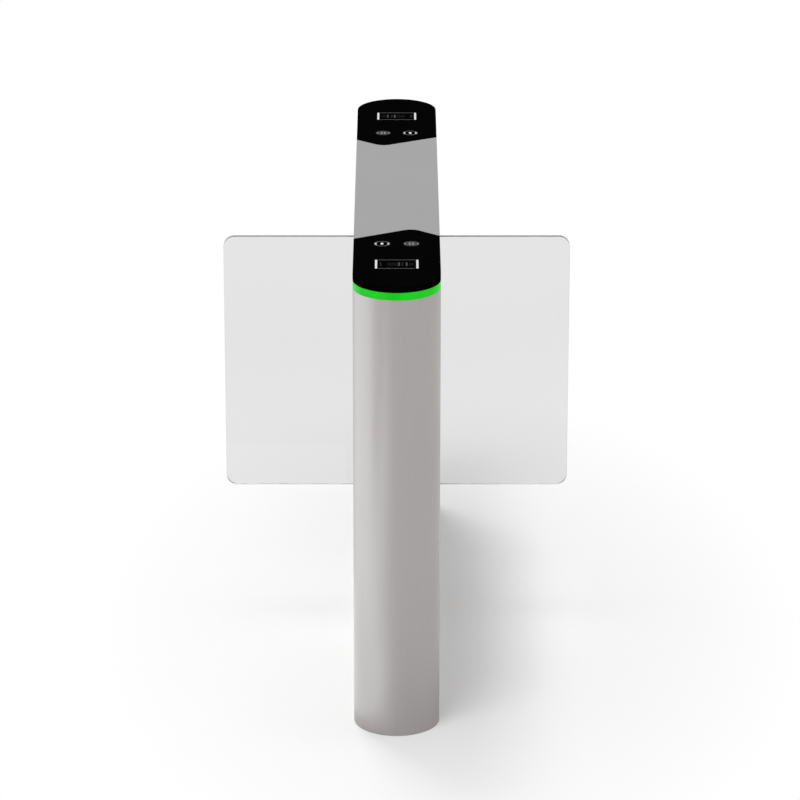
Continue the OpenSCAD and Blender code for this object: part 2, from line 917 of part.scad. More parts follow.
// Folded door in the right side of the near column
module door() {
    color(steel) difference() {
        block([side_in - door_rim, -leaf_y1, leaf_z0], [end_r, -leaf_y0, leaf_z1]);
        block([side_in - door_rim - past, -leaf_y1 + sheet_t, leaf_z0 + sheet_t],
            [side_in, -leaf_y0 - sheet_t, leaf_z1 - sheet_t]);
        translate([pin_x, -pin_y, leaf_z0 - past])
            cylinder(h = leaf_z1 - leaf_z0 + 2 * past, d = pin_d + 2 * running_gap);
        bar_x(side_in - past, end_r + past, -lock_y, lock_z, lock_d + 2 * running_gap);
    }
}

module near_door() {
    door();
}

module far_door() {
    half_turn() door();
}

module door_pins() {
    inside = pin_l - bracket_h - bracket_gap - post_play;
    color(metal) {
        translate([pin_x, -pin_y, leaf_z0 + inside - pin_l]) cylinder(h = pin_l, d = pin_d);
        translate([pin_x, -pin_y, leaf_z1 - inside]) cylinder(h = pin_l, d = pin_d);
    }
}

module near_door_pins() {
    door_pins();
}

module far_door_pins() {
    half_turn() door_pins();
}

// Cam lock in the near door, with its cam hanging down
module lock() {
    slot_w = 2;
    slot_d = 1;
    color(metal) difference() {
        union() {
            bar_x(cam_x, end_r + eps, -lock_y, lock_z, lock_d);
            bar_x(end_r, end_r + lock_head_t, -lock_y, lock_z, lock_head_d);
            block([cam_x, -lock_y - cam_w / 2, lock_z - cam_reach],
                [cam_x + cam_t, -lock_y + cam_w / 2, lock_z]);
        }
        block([end_r + lock_head_t - slot_d, -lock_y - slot_w / 2, lock_z - lock_d / 4],
            [end_r + lock_head_t + past, -lock_y + slot_w / 2, lock_z + lock_d / 4]);
    }
}

module near_lock() {
    lock();
}

module far_lock() {
    half_turn() lock();
}

// One screw along Z with the top of its head at the origin
module screw() {
    socket_w = 3;
    socket_d = 1.5;
    difference() {
        union() {
            translate([0, 0, -screw_head_t]) cylinder(h = screw_head_t, d = screw_head_d);
            translate([0, 0, -screw_head_t - screw_l])
                cylinder(h = screw_l + eps, d = screw_d);
        }
        translate([0, 0, -socket_d]) cylinder(h = socket_d + past, d = socket_w, $fn = 6);
    }
}

module panel_screws() {
    under_lip = column_h - sheet_t - screw_head_t;
    color(metal) {
        for (turn = [0, 180], place = boss_places)
            rotate([0, 0, turn]) translate([place[0], place[1], under_lip])
                rotate([180, 0, 0]) screw();
        for (place = deck_screw_places)
            translate([place[0], place[1], deck_z]) screw();
        for (side = [-1, 1], y = [-upright_y, upright_y], z = spine_screw_z)
            translate([side * (spine_half + screw_head_t), y, z])
                rotate([0, side * 90, 0]) screw();
    }
}

// Control board on the inner side of the near column
module control_board() {
    back_y = column_y + sheet_t;
    board_y = back_y + control_plate_t + control_spacer;
    edge = control_spacer;
    // Place across and up the board, then width and height, all as shares of the board's size
    processor = [0, 0.58, 0.38, 0.23];
    relay = [-0.29, 0.24, 0.23, 0.15];
    filter = [0.27, 0.2, 0.29, 0.1];
    upper_terminals = [0, 0.85, 0.8, 0.05];
    lower_terminals = [0, 0.08, 0.8, 0.05];
    parts = [processor, relay, filter, upper_terminals, lower_terminals];
    color(board) union() {
        wide_block(control_w / 2, [-back_y - control_plate_t, control_z],
            [-back_y, control_z + control_h]);
        wide_block(control_w / 2, [-board_y - board_t, control_z],
            [-board_y, control_z + control_h]);
        for (sx = [-1, 1], z = [control_z + edge, control_z + control_h - edge])
            bar_y(sx * (control_w / 2 - edge), -board_y - eps, -back_y - control_plate_t + eps, z, edge);
        for (place = parts)
            translate([place[0] * control_w, -board_y - board_t - control_part_h / 2 + eps,
                control_z + place[1] * control_h])
                cube([place[2] * control_w, control_part_h, place[3] * control_h], center = true);
    }
}

// Power supply on the inner side of the far column
module power_supply() {
    back_y = column_y + sheet_t;
    terminal_h = 22;
    terminal_d = 16;
    slot_n = 9;
    slot_h = 4;
    slot_pitch = 14;
    color(metal) difference() {
        union() {
            wide_block(supply_w / 2, [back_y, supply_z], [back_y + supply_d, supply_z + supply_h]);
            wide_block(supply_w / 2 - slot_h, [back_y, supply_z - terminal_h],
                [back_y + terminal_d, supply_z + eps]);
        }
        for (i = [0 : slot_n - 1])
            wide_block(supply_w / 4,
                [back_y + supply_d - sheet_t, supply_z + terminal_h + i * slot_pitch],
                [back_y + supply_d + past, supply_z + terminal_h + i * slot_pitch + slot_h]);
    }
}

// Motor with its encoder, under the right gearbox
module motor() {
    groove = 1;
    color(rubber) translate([hinge_x, 0, 0]) rotate_extrude() polygon([
        [0, encoder_z],
        [encoder_d / 2, encoder_z],
        [encoder_d / 2, motor_z],
        [motor_d / 2 - groove, motor_z],
        [motor_d / 2, motor_z + groove],
        [motor_d / 2, gearbox_z - motor_h / 4],
        [motor_d / 2 - groove, gearbox_z - motor_h / 4],
        [motor_d / 2 - groove, gearbox_z - motor_h / 4 + 2 * groove],
        [motor_d / 2, gearbox_z - motor_h / 4 + 2 * groove],
        [motor_d / 2, gearbox_z],
        [0, gearbox_z]
    ]);
}

module left_motor() {
    half_turn() motor();
}

module right_motor() {
    motor();
}

// Planetary gearbox, with a pilot that sits in the drive frame and a bore for its shaft
module gearbox() {
    groove = 1.5;
    ring_z = [for (i = [1, 2]) gearbox_z + i * gearbox_h / 3];
    color(metal) translate([hinge_x, 0, 0]) difference() {
        union() {
            translate([0, 0, gearbox_z]) cylinder(h = gearbox_h, d = gearbox_d);
            translate([0, 0, drive_mid_z - eps]) cylinder(h = drive_mid_t + eps, d = pilot_d);
        }
        for (z = ring_z)
            translate([0, 0, z]) difference() {
                cylinder(h = groove, d = gearbox_d + past);
                translate([0, 0, -past])
                    cylinder(h = groove + 2 * past, d = gearbox_d - 2 * groove);
            }
        translate([0, 0, drive_mid_z + drive_mid_t - shaft_in])
            cylinder(h = shaft_in + past, d = shaft_d + 2 * running_gap);
    }
}

module left_gearbox() {
    half_turn() gearbox();
}

module right_gearbox() {
    gearbox();
}

// Ring-shaped holding brake under the drive frame's upper plate
module brake() {
    groove = 1;
    color(rubber) translate([hinge_x, 0, brake_z]) difference() {
        cylinder(h = brake_h, d = brake_d);
        translate([0, 0, -past])
            cylinder(h = brake_h + 2 * past, d = journal_d + 2 * brake_bore_gap);
        translate([0, 0, -past])
            difference() {
                cylinder(h = past + groove, d = brake_d - 4 * groove);
                cylinder(h = past + groove, d = brake_d - 12 * groove);
            }
    }
}

module left_brake() {
    half_turn() brake();
}

module right_brake() {
    brake();
}

// Flanged bush in the floor of the beam
module top_bush() {
    outer_d = top_journal_d + 2 * bush_wall;
    color(brass) translate([hinge_x, 0, 0]) difference() {
        union() {
            translate([0, 0, beam_z - bush_flange_t])
                cylinder(h = bush_flange_t, d = outer_d + 2 * top_flange_w);
            translate([0, 0, beam_z - eps]) cylinder(h = top_bush_l + eps, d = outer_d);
        }
        translate([0, 0, beam_z - bush_flange_t - past])
            cylinder(h = bush_flange_t + top_bush_l + 2 * past, d = top_journal_d + 2 * running_gap);
    }
}

module left_top_bush() {
    half_turn() top_bush();
}

module right_top_bush() {
    top_bush();
}

// Flanged bush that passes the deck and the drive frame and carries the post
module bottom_bush() {
    outer_d = journal_d + 2 * bush_wall;
    color(brass) translate([hinge_x, 0, 0]) difference() {
        union() {
            translate([0, 0, drive_top_z]) cylinder(h = deck_z - drive_top_z + eps, d = outer_d);
            translate([0, 0, deck_z]) cylinder(h = bush_flange_t, d = post_d);
        }
        translate([0, 0, drive_top_z - past])
            cylinder(h = deck_z - drive_top_z + bush_flange_t + 2 * past,
                d = journal_d + 2 * running_gap);
    }
}

module left_bottom_bush() {
    half_turn() bottom_bush();
}

module right_bottom_bush() {
    bottom_bush();
}

// Hinge post with journals at both ends and a slot that grips the glass
module post() {
    color(metal) translate([hinge_x, 0, 0]) difference() {
        union() {
            translate([0, 0, post_z0]) cylinder(h = post_z1 - post_z0, d = post_d);
            translate([0, 0, journal_z]) cylinder(h = post_z0 - journal_z + eps, d = journal_d);
            translate([0, 0, post_z1 - eps]) cylinder(h = top_journal_l + eps, d = top_journal_d);
        }
        block([slot_in, -slot_left, glass_z], [post_d, slot_right, glass_z + glass_h]);
        for (i = [0 : grub_n - 1])
            bar_y(grub_x, -post_d, -slot_left + eps, glass_z + grub_end + i * grub_pitch,
                grub_d + 2 * running_gap);
    }
}

module left_post() {
    half_turn() post();
}

module right_post() {
    post();
}

// Toughened glass with round outer corners
module glass() {
    inner_x = hinge_x + glass_edge;
    color(clear, 0.4) translate([0, glass_t / 2, 0]) rotate([90, 0, 0]) linear_extrude(glass_t) {
        translate([inner_x, glass_z]) square([wing_reach - glass_r - inner_x, glass_h]);
        translate([wing_reach - glass_r - eps, glass_z + glass_r])
            square([glass_r + eps, glass_h - 2 * glass_r]);
        for (z = [glass_z + glass_r, glass_z + glass_h - glass_r])
            translate([wing_reach - glass_r, z]) circle(r = glass_r);
    }
}

module left_glass() {
    half_turn() glass();
}

module right_glass() {
    glass();
}

// Rubber channel round the inner edge of the glass
module gasket() {
    color(rubber) translate([hinge_x, 0, 0]) difference() {
        block([slot_in, -slot_right, glass_z], [slot_in + gasket_l, slot_right, glass_z + glass_h]);
        block([glass_edge, -glass_t / 2, glass_z - past],
            [post_d, glass_t / 2, glass_z + glass_h + past]);
    }
}

module left_gasket() {
    half_turn() gasket();
}

module right_gasket() {
    gasket();
}

// Bar that the grub screws press against the glass
module clamp_bar() {
    color(metal) translate([hinge_x, 0, 0])
        block([slot_in, -slot_left, glass_z], [slot_in + clamp_w, -slot_right, glass_z + glass_h]);
}

module left_clamp_bar() {
    half_turn() clamp_bar();
}

module right_clamp_bar() {
    clamp_bar();
}

module clamp_screws() {
    reach = sqrt(pow(post_d / 2, 2) - pow(grub_x + grub_d / 2, 2));
    socket_d = 3;
    color(rubber) for (i = [0 : grub_n - 1])
        translate([hinge_x + grub_x, -reach, glass_z + grub_end + i * grub_pitch])
            rotate([-90, 0, 0]) difference() {
                cylinder(h = reach - slot_left, d = grub_d);
                translate([0, 0, -past]) cylinder(h = past + socket_d, d = grub_socket, $fn = 6);
            }
}

module left_clamp_screws() {
    half_turn() clamp_screws();
}

module right_clamp_screws() {
    clamp_screws();
}

// Coupling with the brake disc on top and the gearbox's output shaft below
module coupling() {
    slit = 2;
    color(metal) translate([hinge_x, 0, 0]) difference() {
        union() {
            translate([0, 0, disc_z]) cylinder(h = disc_t, d = brake_disc_d);
            translate([0, 0, coupling_z]) cylinder(h = coupling_h + eps, d = coupling_d);
            translate([0, 0, drive_mid_z + drive_mid_t - shaft_in + post_play])
                cylinder(h = coupling_z - drive_mid_z - drive_mid_t + shaft_in, d = shaft_d);
        }
        translate([0, 0, disc_z + disc_t - coupling_grip])
            cylinder(h = coupling_grip + past, d = journal_d + 2 * running_gap);
        block([0, -slit / 2, disc_z + disc_t - coupling_grip],
            [coupling_d, slit / 2, disc_z - slit]);
    }
}

module left_coupling() {
    half_turn() coupling();
}

module right_coupling() {
    coupling();
}

base_plate();
near_column();
far_column();
inner_walls();
column_rings();
left_side_panel();
right_side_panel();
deck_plate();
drive_frame();
spine_frame();
left_spine_panel();
right_spine_panel();
beam_tray();
top_cover();
near_cap_frame();
far_cap_frame();
near_cap_glass();
far_cap_glass();
near_light_strip();
far_light_strip();
led_boards();
near_scanner();
far_scanner();
card_readers();
near_inlays();
far_inlays();
near_sensors();
far_sensors();
hinge_brackets();
panel_screws();
control_board();
power_supply();
left_motor();
right_motor();
left_gearbox();
right_gearbox();
left_brake();
right_brake();
left_top_bush();
right_top_bush();
left_bottom_bush();
right_bottom_bush();
near_door();
far_door();
near_door_pins();
far_door_pins();
near_lock();
far_lock();
left_post();
right_post();
left_glass();
right_glass();
left_gasket();
right_gasket();
left_clamp_bar();
right_clamp_bar();
left_clamp_screws();
right_clamp_screws();
left_coupling();
right_coupling();
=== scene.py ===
import json
import math

import bmesh
import bpy
from mathutils import Matrix, Vector


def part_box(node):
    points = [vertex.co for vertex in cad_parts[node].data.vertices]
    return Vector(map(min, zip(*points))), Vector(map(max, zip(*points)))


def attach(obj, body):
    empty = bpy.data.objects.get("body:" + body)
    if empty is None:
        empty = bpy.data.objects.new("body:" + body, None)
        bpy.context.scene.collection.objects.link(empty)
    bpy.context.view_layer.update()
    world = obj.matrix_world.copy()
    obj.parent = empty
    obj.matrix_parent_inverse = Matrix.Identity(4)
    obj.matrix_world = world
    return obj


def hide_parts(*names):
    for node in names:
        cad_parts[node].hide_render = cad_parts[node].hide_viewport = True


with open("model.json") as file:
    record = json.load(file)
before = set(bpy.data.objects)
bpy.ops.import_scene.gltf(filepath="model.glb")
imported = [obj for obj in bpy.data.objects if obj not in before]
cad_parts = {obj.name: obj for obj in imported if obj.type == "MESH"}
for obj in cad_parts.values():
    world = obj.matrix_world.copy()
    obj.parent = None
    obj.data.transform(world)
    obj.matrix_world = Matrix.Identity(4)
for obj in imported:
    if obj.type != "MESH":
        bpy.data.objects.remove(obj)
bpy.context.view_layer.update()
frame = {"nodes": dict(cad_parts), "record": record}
NODES = frame["nodes"]

# Sizes in metres
END_R = 0.090                           # round ends of the pedestal, and half its width
ROUND_Y = 0.610                         # centre of a round end
TOP_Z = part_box("top_cover")[1].z
CAP_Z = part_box("top_cover")[0].z
DISC_Y, DISC_PITCH = 0.4146, 0.061      # centres of the discs
DISC_R, DISC_RIM = 0.0165, 0.0013
SCAN_Y, SCAN_W, SCAN_L = 0.553, 0.091, 0.060
SCAN_Y0, SCAN_Y1 = -SCAN_Y - SCAN_L / 2, -SCAN_Y + SCAN_L / 2
BAR_W = 0.0065                          # light bars beside the scan window
HINGE = (0.060, 0, 0)                   # axis of the right wing
# The far half is the near half turned by half a turn
ENDS = {"near": Matrix.Identity(4), "far": Matrix.Rotation(math.pi, 4, "Z")}


# Colour

def lin(value):
    """A channel from 0 to 255 as the screen shows it, made linear."""
    c = value / 255
    return c / 12.92 if c <= 0.04045 else ((c + 0.055) / 1.055) ** 2.4


def rgb(r, g, b):
    return (lin(r), lin(g), lin(b), 1.0)


# Materials

class Look:
    """A procedural material under construction."""

    def __init__(self, name, color, metallic=0.0, rough=0.5, **sockets):
        self.mat = bpy.data.materials.new(name)
        self.mat.use_nodes = True
        self.tree = self.mat.node_tree
        self.bsdf = self.tree.nodes["Principled BSDF"]
        self.color = color
        self.rough = rough
        self.set("Base Color", color)
        self.set("Metallic", metallic)
        self.set("Roughness", rough)
        for key, value in sockets.items():
            self.set(key.replace("_", " "), value)
        self.coords = self.node("ShaderNodeTexCoord").outputs["Object"]
        self.normal = None

    def set(self, socket, value):
        self.bsdf.inputs[socket].default_value = value

    def node(self, kind, **settings):
        made = self.tree.nodes.new(kind)
        for key, value in settings.items():
            setattr(made, key, value)
        return made

    def link(self, source, target):
        self.tree.links.new(source, target)

    def put(self, node, **values):
        for key, value in values.items():
            node.inputs[key.replace("_", " ")].default_value = value
        return node

    def noise(self, scale, stretch=(1, 1, 1), detail=3.0):
        """Noise with a scale per metre, drawn out along an axis by a small stretch."""
        mapping = self.put(self.node("ShaderNodeMapping"), Scale=stretch)
        self.link(self.coords, mapping.inputs["Vector"])
        noise = self.put(self.node("ShaderNodeTexNoise"), Scale=scale, Detail=detail, Roughness=0.6)
        self.link(mapping.outputs["Vector"], noise.inputs["Vector"])
        return noise.outputs["Fac"]

    def remap(self, source, low, high, from_low=0.3, from_high=0.7):
        """Low to high as the source goes over its range, which is that of most noise by default."""
        node = self.put(self.node("ShaderNodeMapRange"), From_Min=from_low, From_Max=from_high,
                        To_Min=low, To_Max=high)
        self.link(source, node.inputs["Value"])
        return node.outputs["Result"]

    def add(self, a, b):
        node = self.node("ShaderNodeMath", operation="ADD")
        self.link(a, node.inputs[0])
        self.link(b, node.inputs[1])
        return node.outputs["Value"]

    def shade(self, source, low, high):
        """Multiplies the colour by low to high as the source goes from dark to light."""
        mix = self.node("ShaderNodeMix", data_type="RGBA")
        mix.inputs["A"].default_value = [v * low for v in self.color[:3]] + [1]
        mix.inputs["B"].default_value = [min(v * high, 1) for v in self.color[:3]] + [1]
        self.link(self.remap(source, 0, 1), mix.inputs["Factor"])
        self.link(mix.outputs["Result"], self.bsdf.inputs["Base Color"])

    def vary_rough(self, first, *others):
        """Each source is (noise, half of its swing). The first one carries the middle value."""
        noise, swing = first
        total = self.remap(noise, self.rough - swing, self.rough + swing)
        for noise, swing in others:
            total = self.add(total, self.remap(noise, -swing, swing))
        self.link(total, self.bsdf.inputs["Roughness"])

    def soften(self, radius):
        """Rounds the shading of hard edges."""
        bevel = self.put(self.node("ShaderNodeBevel", samples=4), Radius=radius)
        self.normal = bevel.outputs["Normal"]
        self.link(self.normal, self.bsdf.inputs["Normal"])

    def bump(self, height, distance):
        """Raises the surface by up to a distance in metres, on top of softened edges."""
        bump = self.put(self.node("ShaderNodeBump"), Strength=1.0, Distance=distance)
        self.link(height, bump.inputs["Height"])
        if self.normal:
            self.link(self.normal, bump.inputs["Normal"])
        self.normal = bump.outputs["Normal"]
        self.link(self.normal, self.bsdf.inputs["Normal"])


def brushed(name, color, rough, stretch, tone=0.04, metallic=1.0, **sockets):
    """Sheet metal with a fine grain along one axis and faint smudges."""
    look = Look(name, color, metallic, rough, **sockets)
    fine = look.noise(900, stretch, detail=4)
    cloud = look.noise(5, detail=2)
    look.soften(0.0006)
    look.bump(fine, 4e-6)
    look.vary_rough((fine, 0.05), (cloud, 0.03))
    look.shade(fine, 1 - tone, 1 + tone)
    return look.mat


def cast(name, color, rough, grain, depth, metallic=0.0, edge=0.0004, **sockets):
    """Moulded, painted or machined stuff with a fine even grain."""
    look = Look(name, color, metallic, rough, **sockets)
    fine = look.noise(grain)
    cloud = look.noise(12, detail=2)
    look.soften(edge)
    look.bump(fine, depth)
    look.vary_rough((fine, 0.06), (cloud, 0.03))
    look.shade(cloud, 0.94, 1.06)
    return look.mat


def make_zinc():
    """Zinc plate: a faint crystal pattern."""
    look = Look("zinc_steel", rgb(176, 179, 182), 1.0, 0.42)
    cells = look.put(look.node("ShaderNodeTexVoronoi"), Scale=160.0)
    look.link(look.coords, cells.inputs["Vector"])
    split = look.node("ShaderNodeSeparateColor")
    look.link(cells.outputs["Color"], split.inputs["Color"])
    cloud = look.noise(20)
    look.soften(0.0006)
    look.bump(cloud, 2e-5)
    look.vary_rough((split.outputs["Red"], 0.05), (cloud, 0.04))
    look.shade(split.outputs["Green"], 0.93, 1.05)
    return look.mat


def make_turned():
    """Turned steel with rings round the axis."""
    look = Look("bright_steel", rgb(196, 196, 196), 1.0, 0.26)
    rings = look.noise(3200, (0.004, 0.004, 1), detail=2)
    cloud = look.noise(9)
    look.soften(0.0006)
    look.bump(rings, 1e-6)
    look.vary_rough((rings, 0.03), (cloud, 0.03))
    look.shade(rings, 0.975, 1.02)
    return look.mat


def make_board():
    """Circuit board: green mask over copper tracks."""
    look = Look("circuit_board", rgb(28, 96, 52), 0.0, 0.35)
    tracks = look.put(look.node("ShaderNodeTexBrick"), Scale=130.0, Mortar_Size=0.05,
                      Color1=rgb(22, 82, 46), Color2=rgb(28, 96, 54), Mortar=rgb(40, 116, 66))
    upright = look.put(look.node("ShaderNodeMapping"), Rotation=(math.pi / 2, 0, 0))
    look.link(look.coords, upright.inputs["Vector"])
    look.link(upright.outputs["Vector"], tracks.inputs["Vector"])
    look.link(tracks.outputs["Color"], look.bsdf.inputs["Base Color"])
    cloud = look.noise(60)
    look.soften(0.0003)
    look.bump(cloud, 1e-5)
    look.vary_rough((cloud, 0.06))
    return look.mat


def make_black_glass():
    """Glass painted black on its back: hardly any tone of its own, and faint wipe marks."""
    look = Look("black_glass", rgb(6, 6, 6), 0.0, 0.16, Specular_IOR_Level=0.0)
    wipe = look.noise(14, (1, 0.35, 1), detail=4)
    look.vary_rough((wipe, 0.04))
    look.shade(wipe, 0.8, 1.2)
    look.bump(look.noise(30), 3e-6)
    return look.mat


GLASS_IOR = 1.45


def make_clear_glass():
    """Clear toughened glass with a faint roller wave."""
    look = Look("clear_glass", (0.782, 0.776, 0.779, 1), 0.0, 0.012, Transmission_Weight=1.0, IOR=GLASS_IOR)
    wave = look.noise(3, detail=1)
    look.bump(wave, 1e-5)
    look.shade(look.noise(2.2, (0.3, 1, 1), detail=1), 0.985, 1.015)
    look.vary_rough((look.noise(6), 0.008))
    return look.mat


def make_glass_edge():
    """Ground rim of the same glass: it scatters a part of the light."""
    look = Look("glass_edge", (0.46, 0.46, 0.46, 1), 0.0, 0.3, Transmission_Weight=0.75, IOR=GLASS_IOR)
    grain = look.noise(1500, detail=2)
    look.bump(grain, 4e-6)
    look.vary_rough((grain, 0.05))
    look.shade(grain, 0.96, 1.04)
    return look.mat


def make_light(name, color, glow, strength):
    """A lamp cover that glows by itself, a little unevenly."""
    look = Look(name, color, 0.0, 0.35, Specular_IOR_Level=0.05)
    look.set("Emission Color", glow)
    uneven = look.remap(look.noise(26, detail=1), strength * 0.88, strength * 1.12)
    look.link(uneven, look.bsdf.inputs["Emission Strength"])
    look.vary_rough((look.noise(300), 0.05))
    look.bump(look.noise(900), 4e-6)
    return look.mat


STEEL = rgb(168, 164, 163)
ALONG_Y, ALONG_Z = (1, 0.012, 1), (1, 1, 0.012)
MATS = {
    "satin_steel": brushed("satin_steel", STEEL, 0.40, ALONG_Z),
    "beam_steel": brushed("beam_steel", STEEL, 0.40, ALONG_Y),
    "grey_panel": brushed("grey_panel", rgb(165, 164, 164), 0.5, ALONG_Y, tone=0.025, metallic=0.0,
                          Specular_IOR_Level=0.05),
    "zinc_steel": make_zinc(),
    "bright_steel": make_turned(),
    "light_alloy": cast("light_alloy", rgb(190, 192, 194), 0.34, 1800, 4e-6, metallic=1.0),
    "black_metal": cast("black_metal", rgb(44, 44, 46), 0.48, 1400, 2e-5, edge=0.0006),
    "black_plastic": cast("black_plastic", rgb(5, 5, 5), 0.55, 2200, 1.2e-5, Specular_IOR_Level=0.0),
    "black_glass": make_black_glass(),
    "clear_glass": make_clear_glass(),
    "glass_edge": make_glass_edge(),
    "green_light": make_light("green_light", rgb(6, 70, 6), rgb(30, 203, 32), 0.92),
    "white_light": make_light("white_light", rgb(190, 190, 190), rgb(255, 255, 255), 0.2),
    "dim_light": make_light("dim_light", rgb(118, 118, 118), rgb(255, 255, 255), 0.04),
    "grey_print": cast("grey_print", rgb(78, 78, 78), 0.4, 900, 2e-6, Specular_IOR_Level=0.0),
    "dark_print": cast("dark_print", rgb(44, 44, 44), 0.4, 900, 2e-6, Specular_IOR_Level=0.0),
    "faint_print": cast("faint_print", rgb(24, 24, 24), 0.4, 900, 2e-6, Specular_IOR_Level=0.0),
    "lens_glass": cast("lens_glass", rgb(28, 4, 8), 0.08, 40, 1e-6, edge=0.0002, Coat_Weight=0.6,
                       Coat_Roughness=0.05),
    "white_plastic": cast("white_plastic", rgb(216, 214, 206), 0.45, 1500, 8e-6, Specular_IOR_Level=0.3),
    "green_plastic": cast("green_plastic", rgb(48, 132, 70), 0.45, 1500, 8e-6, Specular_IOR_Level=0.3),
    "chip_black": cast("chip_black", rgb(26, 27, 28), 0.5, 2600, 8e-6, edge=0.0002, Specular_IOR_Level=0.3),
    "copper_wire": cast("copper_wire", rgb(184, 110, 66), 0.35, 2400, 8e-6, metallic=1.0, edge=0.0002),
    "clear_pipe": cast("clear_pipe", rgb(214, 222, 224), 0.25, 200, 2e-6, Specular_IOR_Level=0.5),
    "white_board": cast("white_board", rgb(225, 225, 218), 0.4, 700, 1e-5),
    "sensor_plastic": cast("sensor_plastic", rgb(40, 12, 22), 0.12, 300, 4e-6),
    "circuit_board": make_board(),
    "bush_brass": cast("bush_brass", rgb(196, 164, 96), 0.32, 1600, 4e-6, metallic=1.0),
    "black_rubber": cast("black_rubber", rgb(30, 30, 31), 0.75, 900, 3e-5, Specular_IOR_Level=0.3),
}

# Pieces whose sheet was rolled along the pedestal, so their grain runs that way
LYING_SHEETS = ("beam_tray", "deck_plate")
slot_of = {s["node"]: s["material_slot"] for s in frame["record"]["subparts"]}
for name, obj in NODES.items():
    mat = MATS["beam_steel" if name in LYING_SHEETS else slot_of[name]]
    if not obj.material_slots:
        obj.data.materials.append(mat)
    for held in obj.material_slots:
        held.material = mat


# Meshes

# Angles in degrees from which an edge is shaded sharp, and how near points are one point
BOX_SHARP, PLATE_SHARP, LATHE_SHARP = 40, 30, 35
WELD = 1e-6


def finish_mesh(mesh, mat, sharp):
    """Gives a mesh its material and smooth shading up to an angle."""
    mesh.materials.clear()
    mesh.materials.append(mat)
    mesh.polygons.foreach_set("use_smooth", [True] * len(mesh.polygons))
    mesh.set_sharp_from_angle(angle=math.radians(sharp))
    return mesh


def from_bmesh(bm, mat, sharp):
    bmesh.ops.recalc_face_normals(bm, faces=bm.faces)
    mesh = bpy.data.meshes.new("part")
    bm.to_mesh(mesh)
    bm.free()
    return finish_mesh(mesh, mat, sharp)


def rounded_box(low, high, mat, radius, segments=2):
    """A box with rounded edges, given by two corners."""
    bm = bmesh.new()
    bmesh.ops.create_cube(bm, size=1)
    low, high = Vector(low), Vector(high)
    size = high - low
    for v in bm.verts:
        v.co = Vector([low[i] + (v.co[i] + 0.5) * size[i] for i in range(3)])
    radius = min(radius, min(size) * 0.45)
    bmesh.ops.bevel(bm, geom=bm.edges[:], offset=radius, segments=segments, profile=0.5, affect="EDGES")
    return from_bmesh(bm, mat, BOX_SHARP)


def signed_area(loop):
    """Area inside a loop of points, above zero where it runs anticlockwise."""
    return sum(a[0] * b[1] - b[0] * a[1] for a, b in zip(loop, loop[1:] + loop[:1])) / 2


def plate(loops, z0, z1, mat, radius, steps=2):
    """A flat plate with rounded rims. The first loop is its outline, and the rest are holes."""
    curve = bpy.data.curves.new("plate", "CURVE")
    curve.dimensions = "2D"
    curve.fill_mode = "BOTH"
    curve.extrude = (z1 - z0) / 2 - radius
    curve.bevel_depth = radius
    curve.bevel_resolution = steps
    curve.offset = -radius
    for i, loop in enumerate(loops):
        points = list(loop)
        if (signed_area(points) > 0) != (i == 0):
            points.reverse()
        spline = curve.splines.new("POLY")
        spline.points.add(len(points) - 1)
        for placed, point in zip(spline.points, points):
            placed.co = (point[0], point[1], 0, 1)
        spline.use_cyclic_u = True
    holder = bpy.data.objects.new("plate", curve)
    mesh = bpy.data.meshes.new_from_object(holder)
    bpy.data.objects.remove(holder)
    mesh.transform(Matrix.Translation((0, 0, (z0 + z1) / 2)))
    return finish_mesh(mesh, mat, PLATE_SHARP)


TURNS = {"Z": Matrix.Identity(4), "-Z": Matrix.Rotation(math.pi, 4, "X"),
         "X": Matrix.Rotation(math.pi / 2, 4, "Y"), "-X": Matrix.Rotation(-math.pi / 2, 4, "Y"),
         "Y": Matrix.Rotation(-math.pi / 2, 4, "X"), "-Y": Matrix.Rotation(math.pi / 2, 4, "X")}


def aimed(mesh, axis, at):
    """Turns a mesh made along Z so that its Z looks along the axis, and moves its origin."""
    mesh.transform(Matrix.Translation(at) @ TURNS[axis])
    return mesh


def circle(x, y, r, steps=64):
    return [(x + r * math.cos(2 * math.pi * i / steps), y + r * math.sin(2 * math.pi * i / steps))
            for i in range(steps)]


def lathe(profile, mat, at=(0, 0, 0), axis="Z", steps=72):
    """Turns (radius, height) points round an axis."""
    bm = bmesh.new()
    rings = []
    for r, h in profile:
        flat = circle(0, 0, r, steps) if r > 0 else [(0, 0)]
        rings.append([bm.verts.new((x, y, h)) for x, y in flat])
    for a, b in zip(rings, rings[1:]):
        for i in range(steps):
            j = (i + 1) % steps
            if len(a) == 1 and len(b) > 1:
                bm.faces.new((a[0], b[i], b[j]))
            elif len(b) == 1 and len(a) > 1:
                bm.faces.new((a[i], b[0], a[j]))
            elif len(a) > 1:
                bm.faces.new((a[i], b[i], b[j], a[j]))
    return aimed(from_bmesh(bm, mat, LATHE_SHARP), axis, at)


def piece(name, meshes, body, replaced, turn=None):
    """One object from several meshes, in its place, riding on a body instead of CAD nodes."""
    bm = bmesh.new()
    mats = []
    for mesh in meshes:
        mat = mesh.materials[0]
        if mat not in mats:
            mats.append(mat)
        start = len(bm.faces)
        bm.from_mesh(mesh)
        bm.faces.ensure_lookup_table()
        for face in bm.faces[start:]:
            face.material_index = mats.index(mat)
        bpy.data.meshes.remove(mesh)
    if turn is not None:
        bmesh.ops.transform(bm, matrix=turn, verts=bm.verts)
    mesh = bpy.data.meshes.new(name)
    bm.to_mesh(mesh)
    bm.free()
    for mat in mats:
        mesh.materials.append(mat)
    obj = bpy.data.objects.new(name, mesh)
    bpy.context.scene.collection.objects.link(obj)
    smooth = obj.modifiers.new("Even normals", "WEIGHTED_NORMAL")
    smooth.keep_sharp = True
    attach(obj, body)
    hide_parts(*replaced)
    return obj


